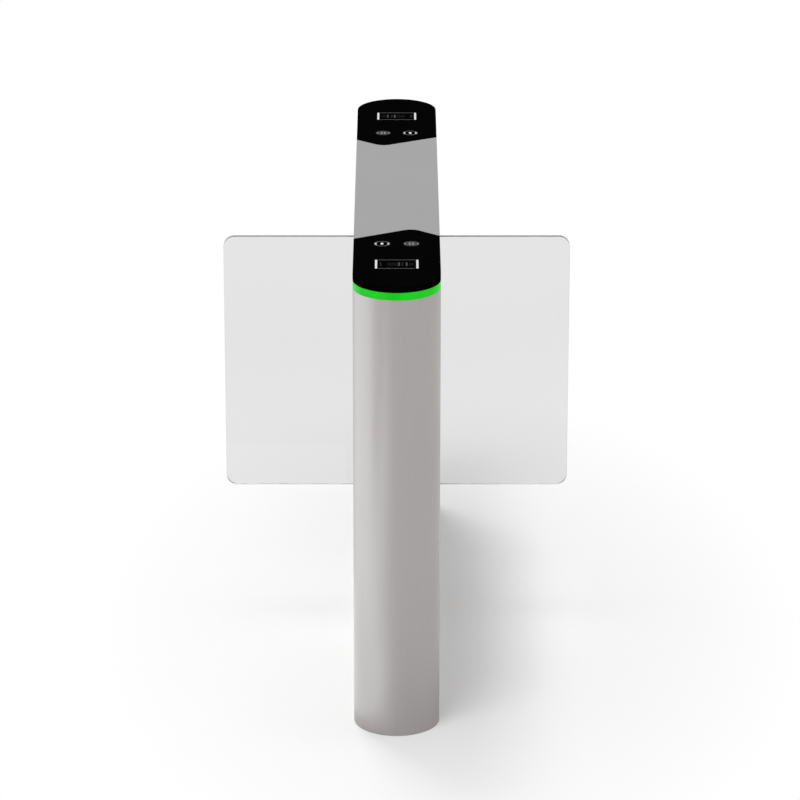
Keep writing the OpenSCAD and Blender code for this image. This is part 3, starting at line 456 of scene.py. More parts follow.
def welded(node):
    """The mesh of a CAD node with its faces joined where they meet."""
    bm = bmesh.new()
    bm.from_mesh(NODES[node].data)
    bmesh.ops.remove_doubles(bm, verts=bm.verts, dist=WELD)
    return bm


def outline(node, normal):
    """Loops of points round the faces of a CAD node that look along the normal and lie furthest out."""
    bm = welded(node)
    n, facing, level = Vector(normal), 0.999, 1e-5
    faces = [f for f in bm.faces if f.normal.dot(n) > facing]
    far = max(f.calc_center_median().dot(n) for f in faces)
    chosen = {f.index for f in faces if f.calc_center_median().dot(n) > far - level}
    bm.verts.ensure_lookup_table()
    following = {}
    for f in bm.faces:
        if f.index not in chosen:
            continue
        for loop in f.loops:
            others = [g for g in loop.edge.link_faces if g.index != f.index]
            if not any(g.index in chosen for g in others):
                following.setdefault(loop.vert.index, []).append(loop.link_loop_next.vert.index)
    loops = []
    while following:
        start = next(iter(following))
        at, loop = start, []
        while at in following:
            loop.append(bm.verts[at].co.copy())
            nexts = following[at]
            step = nexts.pop()
            if not nexts:
                del following[at]
            at = step
        loops.append(loop)
    bm.free()
    return loops


def area_of(loop):
    return abs(signed_area(loop))


def rounded_rect(x0, y0, x1, y1, r):
    corners = ((x1 - r, y1 - r, 0), (x0 + r, y1 - r, 90), (x0 + r, y0 + r, 180), (x1 - r, y0 + r, 270))
    turns = [(x, y, math.radians(first + 15 * i)) for x, y, first in corners for i in range(7)]
    return [(x + r * math.cos(a), y + r * math.sin(a)) for x, y, a in turns]


def flat_plate(name, node, mat, radius):
    """A CAD plate that lies flat, made again with rounded rims."""
    low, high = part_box(node)
    loops = sorted(outline(node, (0, 0, 1)), key=area_of, reverse=True)
    piece(name, [plate(loops, low.z, high.z, MATS[mat], radius)], "pedestal", (node,))


# The top

def arc_band(x, y, r0, r1, a0, a1):
    """Outline of a piece of a ring between two angles in degrees."""
    turns = [math.radians(a0 + (a1 - a0) * i / 16) for i in range(17)]
    return ([(x + r1 * math.cos(a), y + r1 * math.sin(a)) for a in turns]
            + [(x + r0 * math.cos(a), y + r0 * math.sin(a)) for a in reversed(turns)])


def pill(x, y, w, h):
    """An upright bar with round ends, by its centre."""
    return rounded_rect(x - w / 2, y - h / 2, x + w / 2, y + h / 2, w * 0.48)


def let_in(outer, marks, mat):
    """A flat piece in the cap glass, with marks of other materials let into it."""
    edge, steps = 0.0001, 1
    made = [plate([outer] + [loop for loop, other in marks], CAP_Z, TOP_Z, mat, edge, steps)]
    return made + [plate([loop], CAP_Z, TOP_Z, other, edge, steps) for loop, other in marks]


def disc(x, rim_mat, mat, mark_mat, pills, arc_in, spread):
    """A disc in a thin ring, with upright pills and two arcs of plus and minus spread degrees."""
    y, inner = -DISC_Y, DISC_R - DISC_RIM
    marks = [pill(x + at, y, w, h) for at, w, h in pills]
    marks += [arc_band(x, y, inner - arc_in, inner - 0.0007, a - spread, a + spread) for a in (0, 180)]
    ring = plate([circle(x, y, DISC_R), circle(x, y, inner)], CAP_Z, TOP_Z, rim_mat, 0.0002)
    return [ring] + let_in(circle(x, y, inner), [(loop, mark_mat) for loop in marks], mat)


def build_inlays(end):
    """A lit disc and a dim disc with plain marks, and the light bars of the scan window."""
    glass, bright, dim, grey = (MATS[k] for k in ("black_glass", "white_light", "dim_light", "grey_print"))
    meshes = disc(-DISC_PITCH / 2, dim, glass, bright, [(0, 0.0056, 0.0140)], 0.0033, 30)
    pair = [(at, 0.0040, 0.0150) for at in (-0.0036, 0.0036)]
    meshes += disc(DISC_PITCH / 2, grey, grey, dim, pair, 0.0027, 25)
    for side in (-1, 1):
        x = side * (SCAN_W - BAR_W) / 2
        edge = rounded_rect(x - BAR_W / 2, SCAN_Y0, x + BAR_W / 2, SCAN_Y1, 0.0006)
        meshes += let_in(edge, [(pill(x, -SCAN_Y, 0.0046, SCAN_L - 0.0016), bright)], glass)
    piece(end + "_light_marks", meshes, "pedestal", (end + "_inlays",), ENDS[end])


def build_scanner(end):
    """Scanner with its stepped housing, and a pane with a thin frame and its lamps behind the glass."""
    dim, grey, dark, faint = (MATS[k] for k in ("dim_light", "grey_print", "dark_print", "faint_print"))
    plastic = MATS["black_plastic"]
    low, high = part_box("near_scanner")
    pane_x = SCAN_W / 2 - BAR_W - 0.0002
    edge, line, inset = 0.0008, 0.0011, 0.0002
    marks = [(rounded_rect(-pane_x + edge, y + inset, pane_x - edge, y + inset + line, 0.0004), dim)
             for y in (SCAN_Y0 + edge, SCAN_Y1 - edge - line - 2 * inset)]
    # Place, width and tone of each strip
    strips = ((-0.0330, 0.0034, dark), (0.0045, 0.0040, grey), (0.0115, 0.0030, dark), (0.0205, 0.0034, grey))
    marks += [(pill(x, -SCAN_Y, w, 0.024), mat) for x, w, mat in strips]
    marks += [(rounded_rect(x0, -SCAN_Y - half_l, x1, -SCAN_Y + half_l, 0.002), faint)
              for x0, x1, half_l in ((-0.0190, 0.0005, 0.0100), (0.0250, 0.0350, 0.0080))]
    meshes = let_in(rounded_rect(-pane_x, SCAN_Y0, pane_x, SCAN_Y1, 0.0006), marks, MATS["black_glass"])

    half_w, step, wall = SCAN_W / 2, 0.010, 0.005
    head_z, tab_z, tab_t = CAP_Z - 0.015, CAP_Z - 0.011, 0.003
    meshes.append(rounded_box((-half_w, SCAN_Y0, head_z), (half_w, SCAN_Y1, CAP_Z), plastic, 0.0010))
    meshes.append(rounded_box((-half_w + step, SCAN_Y0 + wall, low.z),
                              (half_w - step, SCAN_Y1 - wall, head_z + 0.001), plastic, 0.0020, 3))
    for s in (-1, 1):
        x0, x1 = sorted((s * (half_w - 0.001), s * high.x))
        meshes.append(rounded_box((x0, -SCAN_Y - SCAN_L / 4, tab_z - tab_t),
                                  (x1, -SCAN_Y + SCAN_L / 4, tab_z), plastic, 0.0006))
    for i in range(7):
        rib_x = -0.0285 + i * 0.0095
        meshes.append(rounded_box((rib_x - 0.0012, SCAN_Y0 + 0.0042, low.z + 0.006),
                                  (rib_x + 0.0012, SCAN_Y0 + 0.0056, head_z - 0.004), plastic, 0.0004))
    piece(end + "_scan_unit", meshes, "pedestal", (end + "_scanner",), ENDS[end])


for end in ENDS:
    flat_plate(end + "_cap_top", end + "_cap_glass", "black_glass", 0.0005)
    flat_plate(end + "_light_band", end + "_light_strip", "green_light", 0.0007)
    build_inlays(end)
    build_scanner(end)
flat_plate("top_sheet", "top_cover", "grey_panel", 0.0005)


# The wings

def build_wing_glass(side):
    """Pane with a ground rim. It casts no shadow, because most of the light passes it."""
    node = side + "_glass"
    low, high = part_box(node)
    loops = [[(p.x, p.z) for p in loop] for loop in outline(node, (0, -1, 0))]
    mesh = plate(loops, -high.y, -low.y, MATS["clear_glass"], 0.0010, 1)
    mesh.transform(Matrix.Rotation(math.pi / 2, 4, "X"))
    pane = piece(side + "_wing_pane", [mesh], side + "_wing", (node,))
    pane.visible_shadow = False
    pane.data.materials.append(MATS["glass_edge"])
    for face in pane.data.polygons:
        face.material_index = int(abs(face.normal.y) < 0.9)


for side in ("left", "right"):
    build_wing_glass(side)


# Small hardware

def hexagon(x, y, across):
    """A hexagon by its width across flats."""
    return circle(x, y, across / math.sqrt(3), 6)


def thread(r, z0, z1, pitch=0.0008):
    """Profile of a threaded shank, from z0 up to z1."""
    turns = max(2, round((z1 - z0) / pitch))
    step = (z1 - z0) / turns
    depth = pitch * 0.45
    points = []
    for i in range(turns):
        points += [(r - depth, z0 + i * step), (r, z0 + (i + 0.5) * step)]
    return points + [(r - depth, z1)]


def screw(matrix, head_r=0.00475, head_t=0.0025, shank_r=0.0025, length=0.010, socket=0.0030, deep=0.0015):
    """A socket screw along Z, with the top of its head at the origin."""
    steel = MATS["bright_steel"]
    meshes = [plate([circle(0, 0, head_r, 40), hexagon(0, 0, socket)], -head_t, 0, steel, 0.0005, 3),
              lathe([(0, -deep), (socket * 0.62, -deep), (socket * 0.62, -head_t + 0.0001)],
                    MATS["black_metal"], steps=6),
              lathe([(0, -head_t - length), (shank_r * 0.6, -head_t - length)]
                    + thread(shank_r, -head_t - length + 0.0006, -head_t) + [(0, -head_t)], steel, steps=20)]
    for mesh in meshes:
        mesh.transform(matrix)
    return meshes


def spun(x, y, z, axis="Z"):
    """Matrix that turns Z to an axis and moves the origin to a place."""
    return Matrix.Translation((x, y, z)) @ TURNS[axis]


def solids_of(node):
    """Low and high corner of each separate solid of a node."""
    bm = welded(node)
    left, boxes = set(bm.verts), []
    while left:
        todo, group = [left.pop()], []
        while todo:
            v = todo.pop()
            group.append(v.co.copy())
            for e in v.link_edges:
                other = e.other_vert(v)
                if other in left:
                    left.remove(other)
                    todo.append(other)
        low = Vector([min(p[i] for p in group) for i in range(3)])
        high = Vector([max(p[i] for p in group) for i in range(3)])
        boxes.append((low, high))
    bm.free()
    return sorted(boxes, key=lambda box: tuple(round(v, 5) for v in box[0]))


def build_panel_screws():
    """Screws of the spine panels, which lie, and upright ones low in the deck and high under the caps."""
    meshes, middle = [], 0.5
    for low, high in solids_of("panel_screws"):
        mid, size = (low + high) / 2, high - low
        if size.x > size.z:
            axis = "X" if mid.x > 0 else "-X"
            meshes += screw(spun(high.x if mid.x > 0 else low.x, mid.y, mid.z, axis))
        elif mid.z < middle:
            meshes += screw(spun(mid.x, mid.y, high.z))
        else:
            meshes += screw(spun(mid.x, mid.y, low.z, "-Z"))
    piece("panel_screw_set", meshes, "pedestal", ("panel_screws",))


def build_sensors(end):
    """Threaded infrared sensors: a black barrel, a zinc nut, and a dark lens in a rim."""
    barrel, lens, nut = MATS["chip_black"], MATS["lens_glass"], MATS["zinc_steel"]
    meshes = []
    for low, high in solids_of("near_sensors"):
        mid = (low + high) / 2
        side = 1 if mid.x > 0 else -1
        axis = "X" if side > 0 else "-X"
        deep, out = sorted((abs(low.x), abs(high.x)))
        at = (0, mid.y, mid.z)
        r = 0.0060
        tube = [(0, deep), (r - 0.001, deep), (r - 0.0004, deep + 0.0006), (r - 0.0004, deep + 0.006)]
        tube += thread(r, deep + 0.006, END_R - 0.0024, 0.001)
        tube += [(r, END_R - 0.002), (r, out - 0.0004), (r - 0.0004, out), (r - 0.0013, out),
                 (r - 0.0016, out - 0.0007), (r - 0.0018, out - 0.0010)]
        dome = [(r - 0.0017, out - 0.0012), (r - 0.0022, out - 0.0006), (r - 0.0036, out - 0.0003),
                (0, out - 0.0002)]
        meshes += [lathe(tube, barrel, at, axis, 48), lathe(dome, lens, at, axis, 48)]
        flat = plate([hexagon(0, 0, 0.0154), circle(0, 0, r - 0.0001, 32)], 0, 0.004, nut, 0.0005)
        meshes.append(aimed(flat, axis, (side * (END_R - 0.006), mid.y, mid.z)))
    piece(end + "_sensor_set", meshes, "pedestal", (end + "_sensors",), ENDS[end])


def build_lock(end):
    """Cam lock: a domed head with a plug and a key slot, its barrel and nut, and the cam at its end."""
    steel, zinc, dark = MATS["bright_steel"], MATS["zinc_steel"], MATS["chip_black"]
    low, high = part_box("near_lock")
    y, z = (low.y + high.y) / 2, high.z - (high.y - low.y) / 2
    at, out, cam_t = (0, y, z), high.x, 0.003
    head_r, barrel_r, plug_r, slot_w, slot_h = 0.0100, 0.0079, 0.0058, 0.0016, 0.0080
    body = [(0.0062, out - 0.0006), (0.0064, out - 0.0001), (0.0070, out), (0.0092, out - 0.0003),
            (head_r, out - 0.0009), (head_r, END_R), (barrel_r, END_R)]
    body += thread(barrel_r, END_R - 0.0120, END_R - 0.0022, 0.001)[::-1]
    body += [(0.0060, low.x + cam_t), (0, low.x + cam_t)]
    meshes = [lathe(body, steel, at, "X", 56)]
    key_slot = rounded_rect(-slot_h / 2, -slot_w / 2, slot_h / 2, slot_w / 2, 0.0007)
    face = plate([circle(0, 0, plug_r, 40), key_slot], -0.0012, -0.0002, steel, 0.0002)
    meshes.append(aimed(face, "X", (out, y, z)))
    # Painted shade: a dark disc behind the plug's face darkens the key slot.
    painted_keyway_shade = [(0, out - 0.0013), (0.0063, out - 0.0013), (0.0063, out - 0.0016)]
    meshes.append(lathe(painted_keyway_shade, dark, at, "X", 24))
    nut = plate([hexagon(0, 0, 0.0180), circle(0, 0, barrel_r - 0.0001, 40)], 0, 0.0030, zinc, 0.0005)
    meshes.append(aimed(nut, "X", (END_R - 0.0052, y, z)))
    # Along X a plate's own x looks down, so the cam's reach is drawn towards plus x
    half, reach, corner = 0.0060, z - low.z, 0.003
    turns = [math.radians(a) for a in range(-90, 91, 10)]
    loop = [(-half * math.cos(a), half * math.sin(a)) for a in turns]
    loop += [(reach - corner, half), (reach, half - corner), (reach, -half + corner), (reach - corner, -half)]
    meshes.append(aimed(plate([loop], 0, cam_t, zinc, 0.0004), "X", (low.x, y, z)))
    piece(end + "_cam_lock", meshes, end + "_lock", (end + "_lock",), ENDS[end])


build_panel_screws()
for end in ENDS:
    build_sensors(end)
    build_lock(end)


# Electronics

def along(low, high, n):
    """The middles of n equal lengths."""
    return [low + (i + 0.5) * (high - low) / n for i in range(n)]


def row_of_terminals(x0, x1, z0, z1, face, back):
    """A terminal strip that faces -Y, with a screw and a wire funnel for each of its 12 poles. The funnels
    are black patches of painted shade.
    """
    meshes = [rounded_box((x0, face, z0), (x1, back, z1), MATS["green_plastic"], 0.0006)]
    head, half_w = [(0, 0.0004), (0.0016, 0.0005), (0.0021, 0.0001), (0.0021, -0.0003)], 0.0014
    for x in along(x0, x1, 12):
        meshes.append(lathe(head, MATS["zinc_steel"], (x, face, (z0 + z1) / 2 + 0.0018), "-Y", 16))
        # Painted shade: each wire funnel is a black patch on the face, not an opening.
        meshes.append(rounded_box((x - half_w, face - 0.0002, z0 + 0.0012),
                                  (x + half_w, face + 0.0006, z0 + 0.0036), MATS["chip_black"], 0.0002, 1))
    return meshes


def build_control_board():
    """Board on spacers before its zinc plate: processor under a cooler, relays, coils and terminals."""
    low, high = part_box("control_board")
    black, white, alloy = MATS["chip_black"], MATS["white_plastic"], MATS["light_alloy"]
    w, h = high.x - low.x, high.z - low.z
    plate_t, spacer_t, board_t, corner = 0.003, 0.008, 0.002, 0.008
    plate_y = high.y - plate_t
    board_y = high.y - plate_t - spacer_t
    face, top = board_y - board_t, low.y
    seat = face + 0.0005

    def spot(u, v, uw, vh):
        """Edges of a part given as shares of the board."""
        return (u - uw / 2) * w, (u + uw / 2) * w, low.z + (v - vh / 2) * h, low.z + (v + vh / 2) * h

    edges = (low.x, low.z, high.x, high.z)
    back = plate([rounded_rect(*edges, 0.004)], 0, plate_t, MATS["zinc_steel"], 0.0004)
    card = plate([rounded_rect(*edges, 0.003)], 0, board_t, MATS["circuit_board"], 0.0002)
    meshes = [aimed(back, "-Y", (0, high.y, 0)), aimed(card, "-Y", (0, board_y, 0))]
    for x in (-(w / 2 - corner), w / 2 - corner):
        for z in (low.z + corner, high.z - corner):
            spacer = plate([hexagon(x, z, 0.0066)], 0, plate_y - board_y, MATS["bush_brass"], 0.0003)
            meshes.append(aimed(spacer, "-Y", (0, plate_y, 0)))
            meshes += screw(spun(x, face - 0.0016, z, "-Y"), 0.0030, 0.0016, 0.0015, 0.002, 0.0018, 0.0009)

    # Processor and the fins of its cooler
    x0, x1, z0, z1 = spot(0, 0.58, 0.38, 0.23)
    meshes.append(rounded_box((x0, face - 0.004, z0), (x1, seat, z1), black, 0.0006))
    for i in range(9):
        x = x0 + 0.0015 + i * (x1 - x0 - 0.003) / 8
        meshes.append(rounded_box((x - 0.0007, top, z0 + 0.003), (x + 0.0007, face - 0.0035, z1 - 0.003),
                                  alloy, 0.0003))

    # Two relays, then two coils in their cans
    x0, x1, z0, z1 = spot(-0.29, 0.24, 0.23, 0.15)
    half, gap = (z0 + z1) / 2, 0.0006
    meshes.append(rounded_box((x0, top, z0), (x1, seat, half - gap), white, 0.0008))
    meshes.append(rounded_box((x0, top, half + gap), (x1, seat, z1), white, 0.0008))
    x0, x1, z0, z1 = spot(0.27, 0.2, 0.29, 0.1)
    r, tall = min(x1 - x0, z1 - z0) / 4, face - top
    can = [(0, 0), (r * 0.9, 0), (r, 0.0006), (r, 0.0020), (r * 0.93, 0.0026), (r, 0.0032),
           (r, tall - 0.0008), (r * 0.9, tall - 0.0001), (r * 0.5, tall - 0.0004), (0, tall - 0.0004)]
    for share, mat in ((0.27, alloy), (0.73, black)):
        meshes.append(lathe(can, mat, (x0 + (x1 - x0) * share, face, (z0 + z1) / 2), "-Y", 32))

    for v in (0.85, 0.08):
        meshes += row_of_terminals(*spot(0, v, 0.8, 0.05), top, seat)

    # Chips with their legs, and three lamps
    for u, v, uw, vh in ((-0.3, 0.72, 0.12, 0.05), (0.3, 0.72, 0.1, 0.08), (0.02, 0.36, 0.2, 0.05),
                         (0.33, 0.4, 0.1, 0.04), (-0.35, 0.42, 0.08, 0.06), (0.3, 0.33, 0.14, 0.03)):
        x0, x1, z0, z1 = spot(u, v, uw, vh)
        meshes.append(rounded_box((x0, face - 0.0016, z0), (x1, face + 0.0003, z1), black, 0.0003, 1))
        for x in along(x0, x1, max(3, round((x1 - x0) / 0.0016))):
            meshes.append(rounded_box((x - 0.0003, face - 0.0005, z0 - 0.0012),
                                      (x + 0.0003, face + 0.0002, z1 + 0.0012), alloy, 0.0001, 1))
    for i, mat in enumerate(("green_light", "white_light", "dim_light")):
        x, z = -0.05 * w + i * 0.006, low.z + 0.78 * h
        meshes.append(rounded_box((x, face - 0.0012, z), (x + 0.0016, face + 0.0002, z + 0.0028),
                                  MATS[mat], 0.0003, 1))
    piece("control_unit", meshes, "pedestal", ("control_board",))


def build_power_supply():
    """Vented case with a terminal strip below. A black sheet behind the vents is painted shade for the
    inside.
    """
    low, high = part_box("power_supply")
    alloy, black = MATS["light_alloy"], MATS["chip_black"]
    base_z, skin, vent_x = low.z + 0.022, 0.0016, 0.0245
    meshes = [rounded_box((low.x, low.y, base_z), (high.x, high.y - skin, high.z), alloy, 0.0012, 3)]
    vents = [rounded_rect(-vent_x, base_z + 0.022 + i * 0.014, vent_x, base_z + 0.026 + i * 0.014, 0.0018)
             for i in range(9)]
    cover = plate([rounded_rect(low.x, base_z, high.x, high.z, 0.002)] + vents, 0, skin, alloy, 0.0004)
    meshes.append(aimed(cover, "-Y", (0, high.y, 0)))
    # Painted shade: a black sheet just behind the vents darkens the inside of the case.
    meshes.append(rounded_box((-vent_x - 0.001, high.y - skin - 0.0004, base_z + 0.018),
                              (vent_x + 0.001, high.y - skin + 0.0002, base_z + 0.142), black, 0.0002, 1))
    x0, x1, strip_y = low.x + 0.004, high.x - 0.004, low.y + 0.016
    meshes.append(rounded_box((x0, low.y, low.z), (x1, strip_y, base_z + 0.0004), black, 0.0010))
    head = [(0, 0.0002), (0.0026, 0.0003), (0.0034, 0), (0.0034, -0.0006)]
    for x in along(x0, x1, 9):
        meshes.append(lathe(head, MATS["zinc_steel"], (x, strip_y, low.z + 0.011), "Y", 20))
    for x in (-0.040, 0.040):
        for z in (base_z + 0.008, high.z - 0.008):
            meshes += screw(spun(x, high.y + 0.0004, z, "Y"), 0.0028, 0.0010, 0.0012, 0.001, 0.0016, 0.0006)
    piece("power_unit", meshes, "pedestal", ("power_supply",))


def build_lamp_boards():
    """Flexible boards behind the strips, with square lamps that have round lenses."""
    white, lens = MATS["white_board"], MATS["clear_pipe"]
    board_r, lamp_z, half = 0.080, CAP_Z - 0.022, 0.002
    first_y, pitch, n = 0.3658, 0.025, 10
    spots = [(side * board_r, -(first_y + i * pitch), angle)
             for i in range(n) for side, angle in ((-1, math.pi), (1, 0))]
    for angle in along(0, -math.pi, n):
        spots.append((board_r * math.cos(angle), -ROUND_Y + board_r * math.sin(angle), angle))
    dome = [(0.0016, 0.0011), (0.0016, 0.0014), (0.0013, 0.0020), (0.0007, 0.0024), (0, 0.0025)]
    low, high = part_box("led_boards")
    meshes = [plate([loop], low.z, high.z, white, 0.0003) for loop in outline("led_boards", (0, 0, 1))
              if area_of(loop) > 1e-4]
    for turn in ENDS.values():
        for x, y, angle in spots:
            lamp = [rounded_box((-0.0002, -half, -half), (0.0012, half, half), white, 0.0003, 1),
                    lathe(dome, lens, axis="X", steps=16)]
            for mesh in lamp:
                mesh.transform(turn @ Matrix.Translation((x, y, lamp_z)) @ Matrix.Rotation(angle, 4, "Z"))
            meshes += lamp
    piece("lamp_boards", meshes, "pedestal", ("led_boards",))


def build_card_readers():
    """Boards with the turns of their antenna in copper, and a light pipe under each disc."""
    floor_z, wire = CAP_Z - 0.008, 0.0006
    pipe = [(0, 0.0019), (0.0150, 0.0019), (0.0160, 0.0029), (0.0160, 0.0078), (0.0158, 0.0080), (0, 0.0080)]

    def inside(edge, r):
        """Outline of the board, moved in by an edge."""
        x, y = 0.054 - edge, 0.031 - edge
        return rounded_rect(-x, -DISC_Y - y, x, -DISC_Y + y, r)

    meshes = []
    for turn in ENDS.values():
        made = [plate([inside(0, 0.002)], floor_z, floor_z + 0.002, MATS["circuit_board"], 0.0002)]
        for i in range(5):
            edge = 0.0012 + i * 0.0010
            made.append(plate([inside(edge, 0.003), inside(edge + wire, 0.0024)], floor_z + 0.0018,
                              floor_z + 0.0030, MATS["copper_wire"], 0.0001, 1))
        for x in (-DISC_PITCH / 2, DISC_PITCH / 2):
            made.append(lathe(pipe, MATS["clear_pipe"], (x, -DISC_Y, floor_z), steps=48))
        for mesh in made:
            mesh.transform(turn)
        meshes += made
    piece("reader_boards", meshes, "pedestal", ("card_readers",))


build_control_board()
build_power_supply()
build_lamp_boards()
build_card_readers()


# Drives

def build_motor(side, turn):
    """Finned motor with a bright flange on top, and below it the encoder between four screws."""
    low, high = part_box("right_motor")
    r, enc, bolts_r = 0.025, 0.019, 0.0195
    z0, z1, z2 = low.z, low.z + 0.014, high.z
    body = [(0, z1), (r - 0.002, z1), (r - 0.0006, z1 + 0.0006), (r, z1 + 0.0020), (r, z1 + 0.0090)]
    for i in range(9):
        z = z1 + 0.011 + i * 0.0048
        body += [(r - 0.0012, z), (r - 0.0012, z + 0.0016), (r, z + 0.0020), (r, z + 0.0044)]
    body += [(r, z2 - 0.0160), (r - 0.001, z2 - 0.0155), (r - 0.001, z2 - 0.0135), (0, z2 - 0.0135)]
    flange = [(0, z2 - 0.0136), (r - 0.0006, z2 - 0.0136), (r, z2 - 0.0128), (r, z2 - 0.0006),
              (r - 0.0006, z2), (0, z2)]
    encoder = [(0, z0), (enc - 0.002, z0), (enc - 0.0005, z0 + 0.0006), (enc, z0 + 0.002), (enc, z1 - 0.002),
               (enc - 0.0008, z1 - 0.0012), (enc - 0.0008, z1), (0, z1)]
    meshes = [lathe(body, MATS["black_metal"], HINGE), lathe(flange, MATS["light_alloy"], HINGE),
              lathe(encoder, MATS["chip_black"], HINGE, steps=56)]
    for a in (45, 135, 225, 315):
        x = HINGE[0] + bolts_r * math.cos(math.radians(a))
        y = HINGE[1] + bolts_r * math.sin(math.radians(a))
        meshes += screw(spun(x, y, z1 - 0.0003, "-Z"), 0.0022, 0.0012, 0.001, 0.001, 0.0014, 0.0006)
    piece(side + "_motor_unit", meshes, "pedestal", (side + "_motor",), turn)


def build_gearbox(side, turn):
    """Planetary gearbox: a ring gear with ribs between two grooves, and a pilot on top."""
    low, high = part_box("right_gearbox")
    r, groove, pilot = 0.026, 0.0015, 0.015
    z0, z2, z3 = low.z, high.z - 0.008, high.z
    body = [(0, z0), (r - 0.0008, z0), (r, z0 + 0.0008)]
    for z in (z0 + 0.0225, z0 + 0.0458):
        body += [(r, z), (r - groove, z + 0.001), (r - groove, z + 0.002), (r, z + 0.003)]
    body += [(r, z2 - 0.0008), (r - 0.0008, z2), (pilot, z2), (pilot, z3 - 0.0005), (pilot - 0.0005, z3),
             (0.0072, z3), (0.0071, z3 - 0.034)]
    meshes = [lathe(body, MATS["light_alloy"], HINGE)]
    for i in range(24):
        rib = rounded_box((r - 0.0009, -0.0010, z0 + 0.0262), (r, 0.0010, z0 + 0.0452), MATS["light_alloy"],
                          0.0003, 1)
        rib.transform(Matrix.Translation(HINGE) @ Matrix.Rotation(math.radians(15 * i + 7.5), 4, "Z"))
        meshes.append(rib)
    piece(side + "_gear_unit", meshes, "pedestal", (side + "_gearbox",), turn)


def build_brake(side, turn):
    """Ring-shaped brake with a groove, and the coil in its lower face."""
    low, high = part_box("right_brake")
    r, bore = 0.026, 0.0165
    z0, z1 = low.z, high.z
    body = [(bore, z0), (0.0200, z0), (0.0202, z0 + 0.001), (0.0238, z0 + 0.001), (0.0240, z0),
            (r - 0.0006, z0), (r, z0 + 0.0006), (r, z0 + 0.006), (r - 0.0006, z0 + 0.0064),
            (r - 0.0006, z0 + 0.0076), (r, z0 + 0.008), (r, z1 - 0.0006), (r - 0.0006, z1), (bore, z1),
            (bore, z0)]
    coil = [(0.0203, z0 + 0.0008), (0.0203, z0 + 0.0003), (0.0237, z0 + 0.0003), (0.0237, z0 + 0.0008)]
    meshes = [lathe(body, MATS["black_metal"], HINGE), lathe(coil, MATS["copper_wire"], HINGE, steps=56)]
    piece(side + "_brake_unit", meshes, "pedestal", (side + "_brake",), turn)


def build_coupling(side, turn):
    """Coupling that grips the post's journal by a slit and grub screws, with its disc and its shaft. The slit
    is a black strip set into the hub, as painted shade.
    """
    low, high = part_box("right_coupling")
    z0, z1, z2, z3 = low.z, high.z - 0.050, high.z - 0.004, high.z
    disc_r, hub_r, shaft_r, bore, grip = 0.025, 0.023, 0.007, 0.01505, z3 - 0.028
    body = [(0, z0), (shaft_r - 0.0006, z0), (shaft_r, z0 + 0.0006), (shaft_r, z1), (hub_r - 0.001, z1),
            (hub_r, z1 + 0.001), (hub_r, z1 + 0.009), (hub_r - 0.0008, z1 + 0.0098),
            (hub_r - 0.0008, z1 + 0.0112), (hub_r, z1 + 0.012), (hub_r, z2 - 0.002),
            (hub_r - 0.001, z2 - 0.001), (hub_r - 0.001, z2), (disc_r - 0.0004, z2), (disc_r, z2 + 0.0004),
            (disc_r, z3 - 0.0004), (disc_r - 0.0004, z3), (bore, z3), (bore, grip), (0, grip)]
    # Painted shade: a black strip set into the hub stands for the dark inside the slit.
    painted_slit_shade = rounded_box((bore, -0.0010, grip), (hub_r + 0.0001, 0.0010, z2 - 0.003), MATS["chip_black"],
                       0.0001, 1)
    painted_slit_shade.transform(Matrix.Translation(HINGE))
    meshes = [lathe(body, MATS["light_alloy"], HINGE), painted_slit_shade]
    grub = [(0, -0.0010), (0.0014, -0.0010), (0.0014, 0), (0.0024, 0.0001), (0.0024, -0.0020)]
    for z in (grip + 0.006, z2 - 0.008):
        for y, axis in ((-0.0138, "-Y"), (0.0138, "Y")):
            meshes.append(lathe(grub, MATS["bright_steel"], (HINGE[0] + 0.0185, y, z), axis, 20))
    piece(side + "_coupling_unit", meshes, side + "_wing", (side + "_coupling",), turn)


for side, turn in (("left", ENDS["far"]), ("right", ENDS["near"])):
    build_motor(side, turn)
    build_gearbox(side, turn)
    build_brake(side, turn)
    build_coupling(side, turn)


# Stage

WHITE = (1, 1, 1, 1)
CARD_TINT = (0.91, 0.99, 1.0)


def seen_rays(nodes, links):
    """1 for the rays that look at a thing, and 0 for those that light one."""
    path = nodes.new("ShaderNodeLightPath")
    seen = path.outputs["Is Camera Ray"]
    for kind in ("Is Glossy Ray", "Is Transmission Ray"):
        either = nodes.new("ShaderNodeMath")
        either.operation = "MAXIMUM"
        links.new(seen, either.inputs[0])
        links.new(path.outputs[kind], either.inputs[1])
        seen = either.outputs["Value"]
    return seen


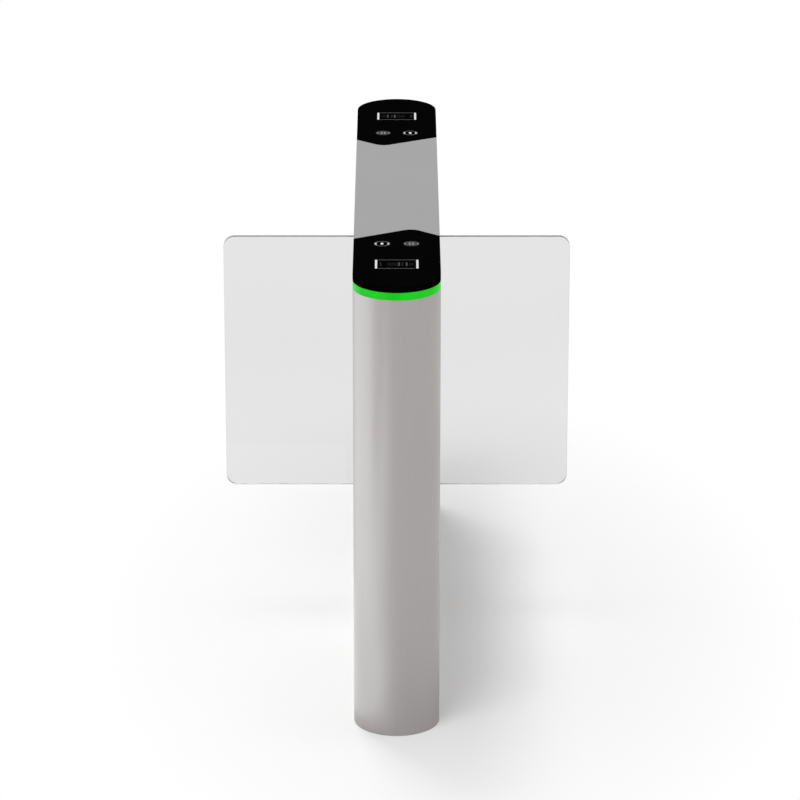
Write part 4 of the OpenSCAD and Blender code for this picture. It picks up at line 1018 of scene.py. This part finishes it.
def build_stage():
    """Pale floor that keeps the shadow near the object and fades to white in an oval around it."""
    tone, glow, near, far, half_size = 0.93, 0.09, 0.32, 0.78, 20
    look = Look("floor", (tone, tone, tone, 1), 0.0, 0.9, Specular_IOR_Level=0.0)
    look.vary_rough((look.noise(2), 0.03))
    look.shade(look.noise(1.5), 0.997, 1.003)
    look.set("Emission Color", WHITE)
    seen = look.remap(seen_rays(look.tree.nodes, look.tree.links), 0, glow, 0, 1)
    look.link(seen, look.bsdf.inputs["Emission Strength"])

    white = look.put(look.node("ShaderNodeEmission"), Color=WHITE, Strength=1.0)
    oval = look.put(look.node("ShaderNodeMapping"), Location=(-0.12, 0, 0), Scale=(1, 0.55, 1))
    look.link(look.coords, oval.inputs["Vector"])
    length = look.node("ShaderNodeVectorMath", operation="LENGTH")
    look.link(oval.outputs["Vector"], length.inputs[0])
    mix = look.node("ShaderNodeMixShader")
    look.link(look.remap(length.outputs["Value"], 0, 1, near, far), mix.inputs[0])
    look.link(look.bsdf.outputs["BSDF"], mix.inputs[1])
    look.link(white.outputs["Emission"], mix.inputs[2])
    look.link(mix.outputs["Shader"], look.tree.nodes["Material Output"].inputs["Surface"])

    bm = bmesh.new()
    bmesh.ops.create_grid(bm, x_segments=8, y_segments=8, size=half_size)
    mesh = bpy.data.meshes.new("floor")
    bm.to_mesh(mesh)
    bm.free()
    mesh.materials.append(look.mat)
    floor = bpy.data.objects.new("floor", mesh)
    bpy.context.scene.collection.objects.link(floor)


def build_world():
    """A dome that looks white and lights weakly."""
    shown, lights = 1.0, 0.33
    world = bpy.data.worlds.new("studio")
    bpy.context.scene.world = world
    world.use_nodes = True
    nodes, links = world.node_tree.nodes, world.node_tree.links
    back = nodes["Background"]
    back.inputs["Color"].default_value = WHITE
    strength = nodes.new("ShaderNodeMapRange")
    strength.inputs["To Min"].default_value = lights
    strength.inputs["To Max"].default_value = shown
    links.new(seen_rays(nodes, links), strength.inputs["Value"])
    links.new(strength.outputs["Result"], back.inputs["Strength"])


def soft_light(name, place, target, size, power, card=False):
    """A soft box that shines at a target, with a width and a height. A card only shows in reflections."""
    lamp = bpy.data.lights.new(name, "AREA")
    lamp.color = CARD_TINT if card else WHITE[:3]
    lamp.shape = "RECTANGLE"
    lamp.size, lamp.size_y = size
    lamp.energy = power
    obj = bpy.data.objects.new(name, lamp)
    obj.visible_camera = False
    obj.visible_diffuse = not card
    obj.visible_transmission = not card
    obj.location = place
    obj.rotation_euler = (Vector(target) - Vector(place)).to_track_quat("-Z", "Y").to_euler()
    bpy.context.scene.collection.objects.link(obj)


def build_camera():
    """The camera fitted to the outline: before the near end, looking down."""
    down = 19.76
    data = bpy.data.cameras.new("camera")
    data.sensor_width = 36
    data.lens = 186.43
    data.shift_x = 0.0041
    data.clip_end = 100
    cam = bpy.data.objects.new("camera", data)
    cam.location = (0, -8.62295, 3.59365)
    cam.rotation_euler = (math.radians(90 - down), 0, 0)
    bpy.context.scene.collection.objects.link(cam)
    bpy.context.scene.camera = cam


build_stage()
build_world()
# Soft light from the back left and the front left, and a weak one from the right
soft_light("back_key", (-1.9, 4.0, 13.0), (-0.1, 0, 0.3), (2.8, 2.6), 500)
soft_light("front_key", (-1.9, -3.5, 13.0), (0, 0, 0.3), (2.8, 2.6), 420)
soft_light("fill", (1.9, -0.2, 13.0), (0.2, 0, 0.3), (1.8, 3.6), 145)
# What the satin steel shows of its surroundings
soft_light("left_card", (-0.8, -0.37, 0.5), (0, -0.37, 0.5), (1.34, 1.0), 2.95, True)
soft_light("left_low_card", (-0.8, -0.65, 0.08), (0, -0.65, 0.08), (1.9, 0.16), 1.2, True)
soft_light("front_card", (-0.8, -2.1, 0.08), (0, -2.1, 0.08), (1.0, 0.16), 1.1, True)
soft_light("left_floor_card", (-0.5, -0.475, 0.004), (-0.5, -0.475, 1.0), (0.75, 1.15), 1.3, True)
build_camera()
bpy.context.scene.view_settings.view_transform = "Standard"
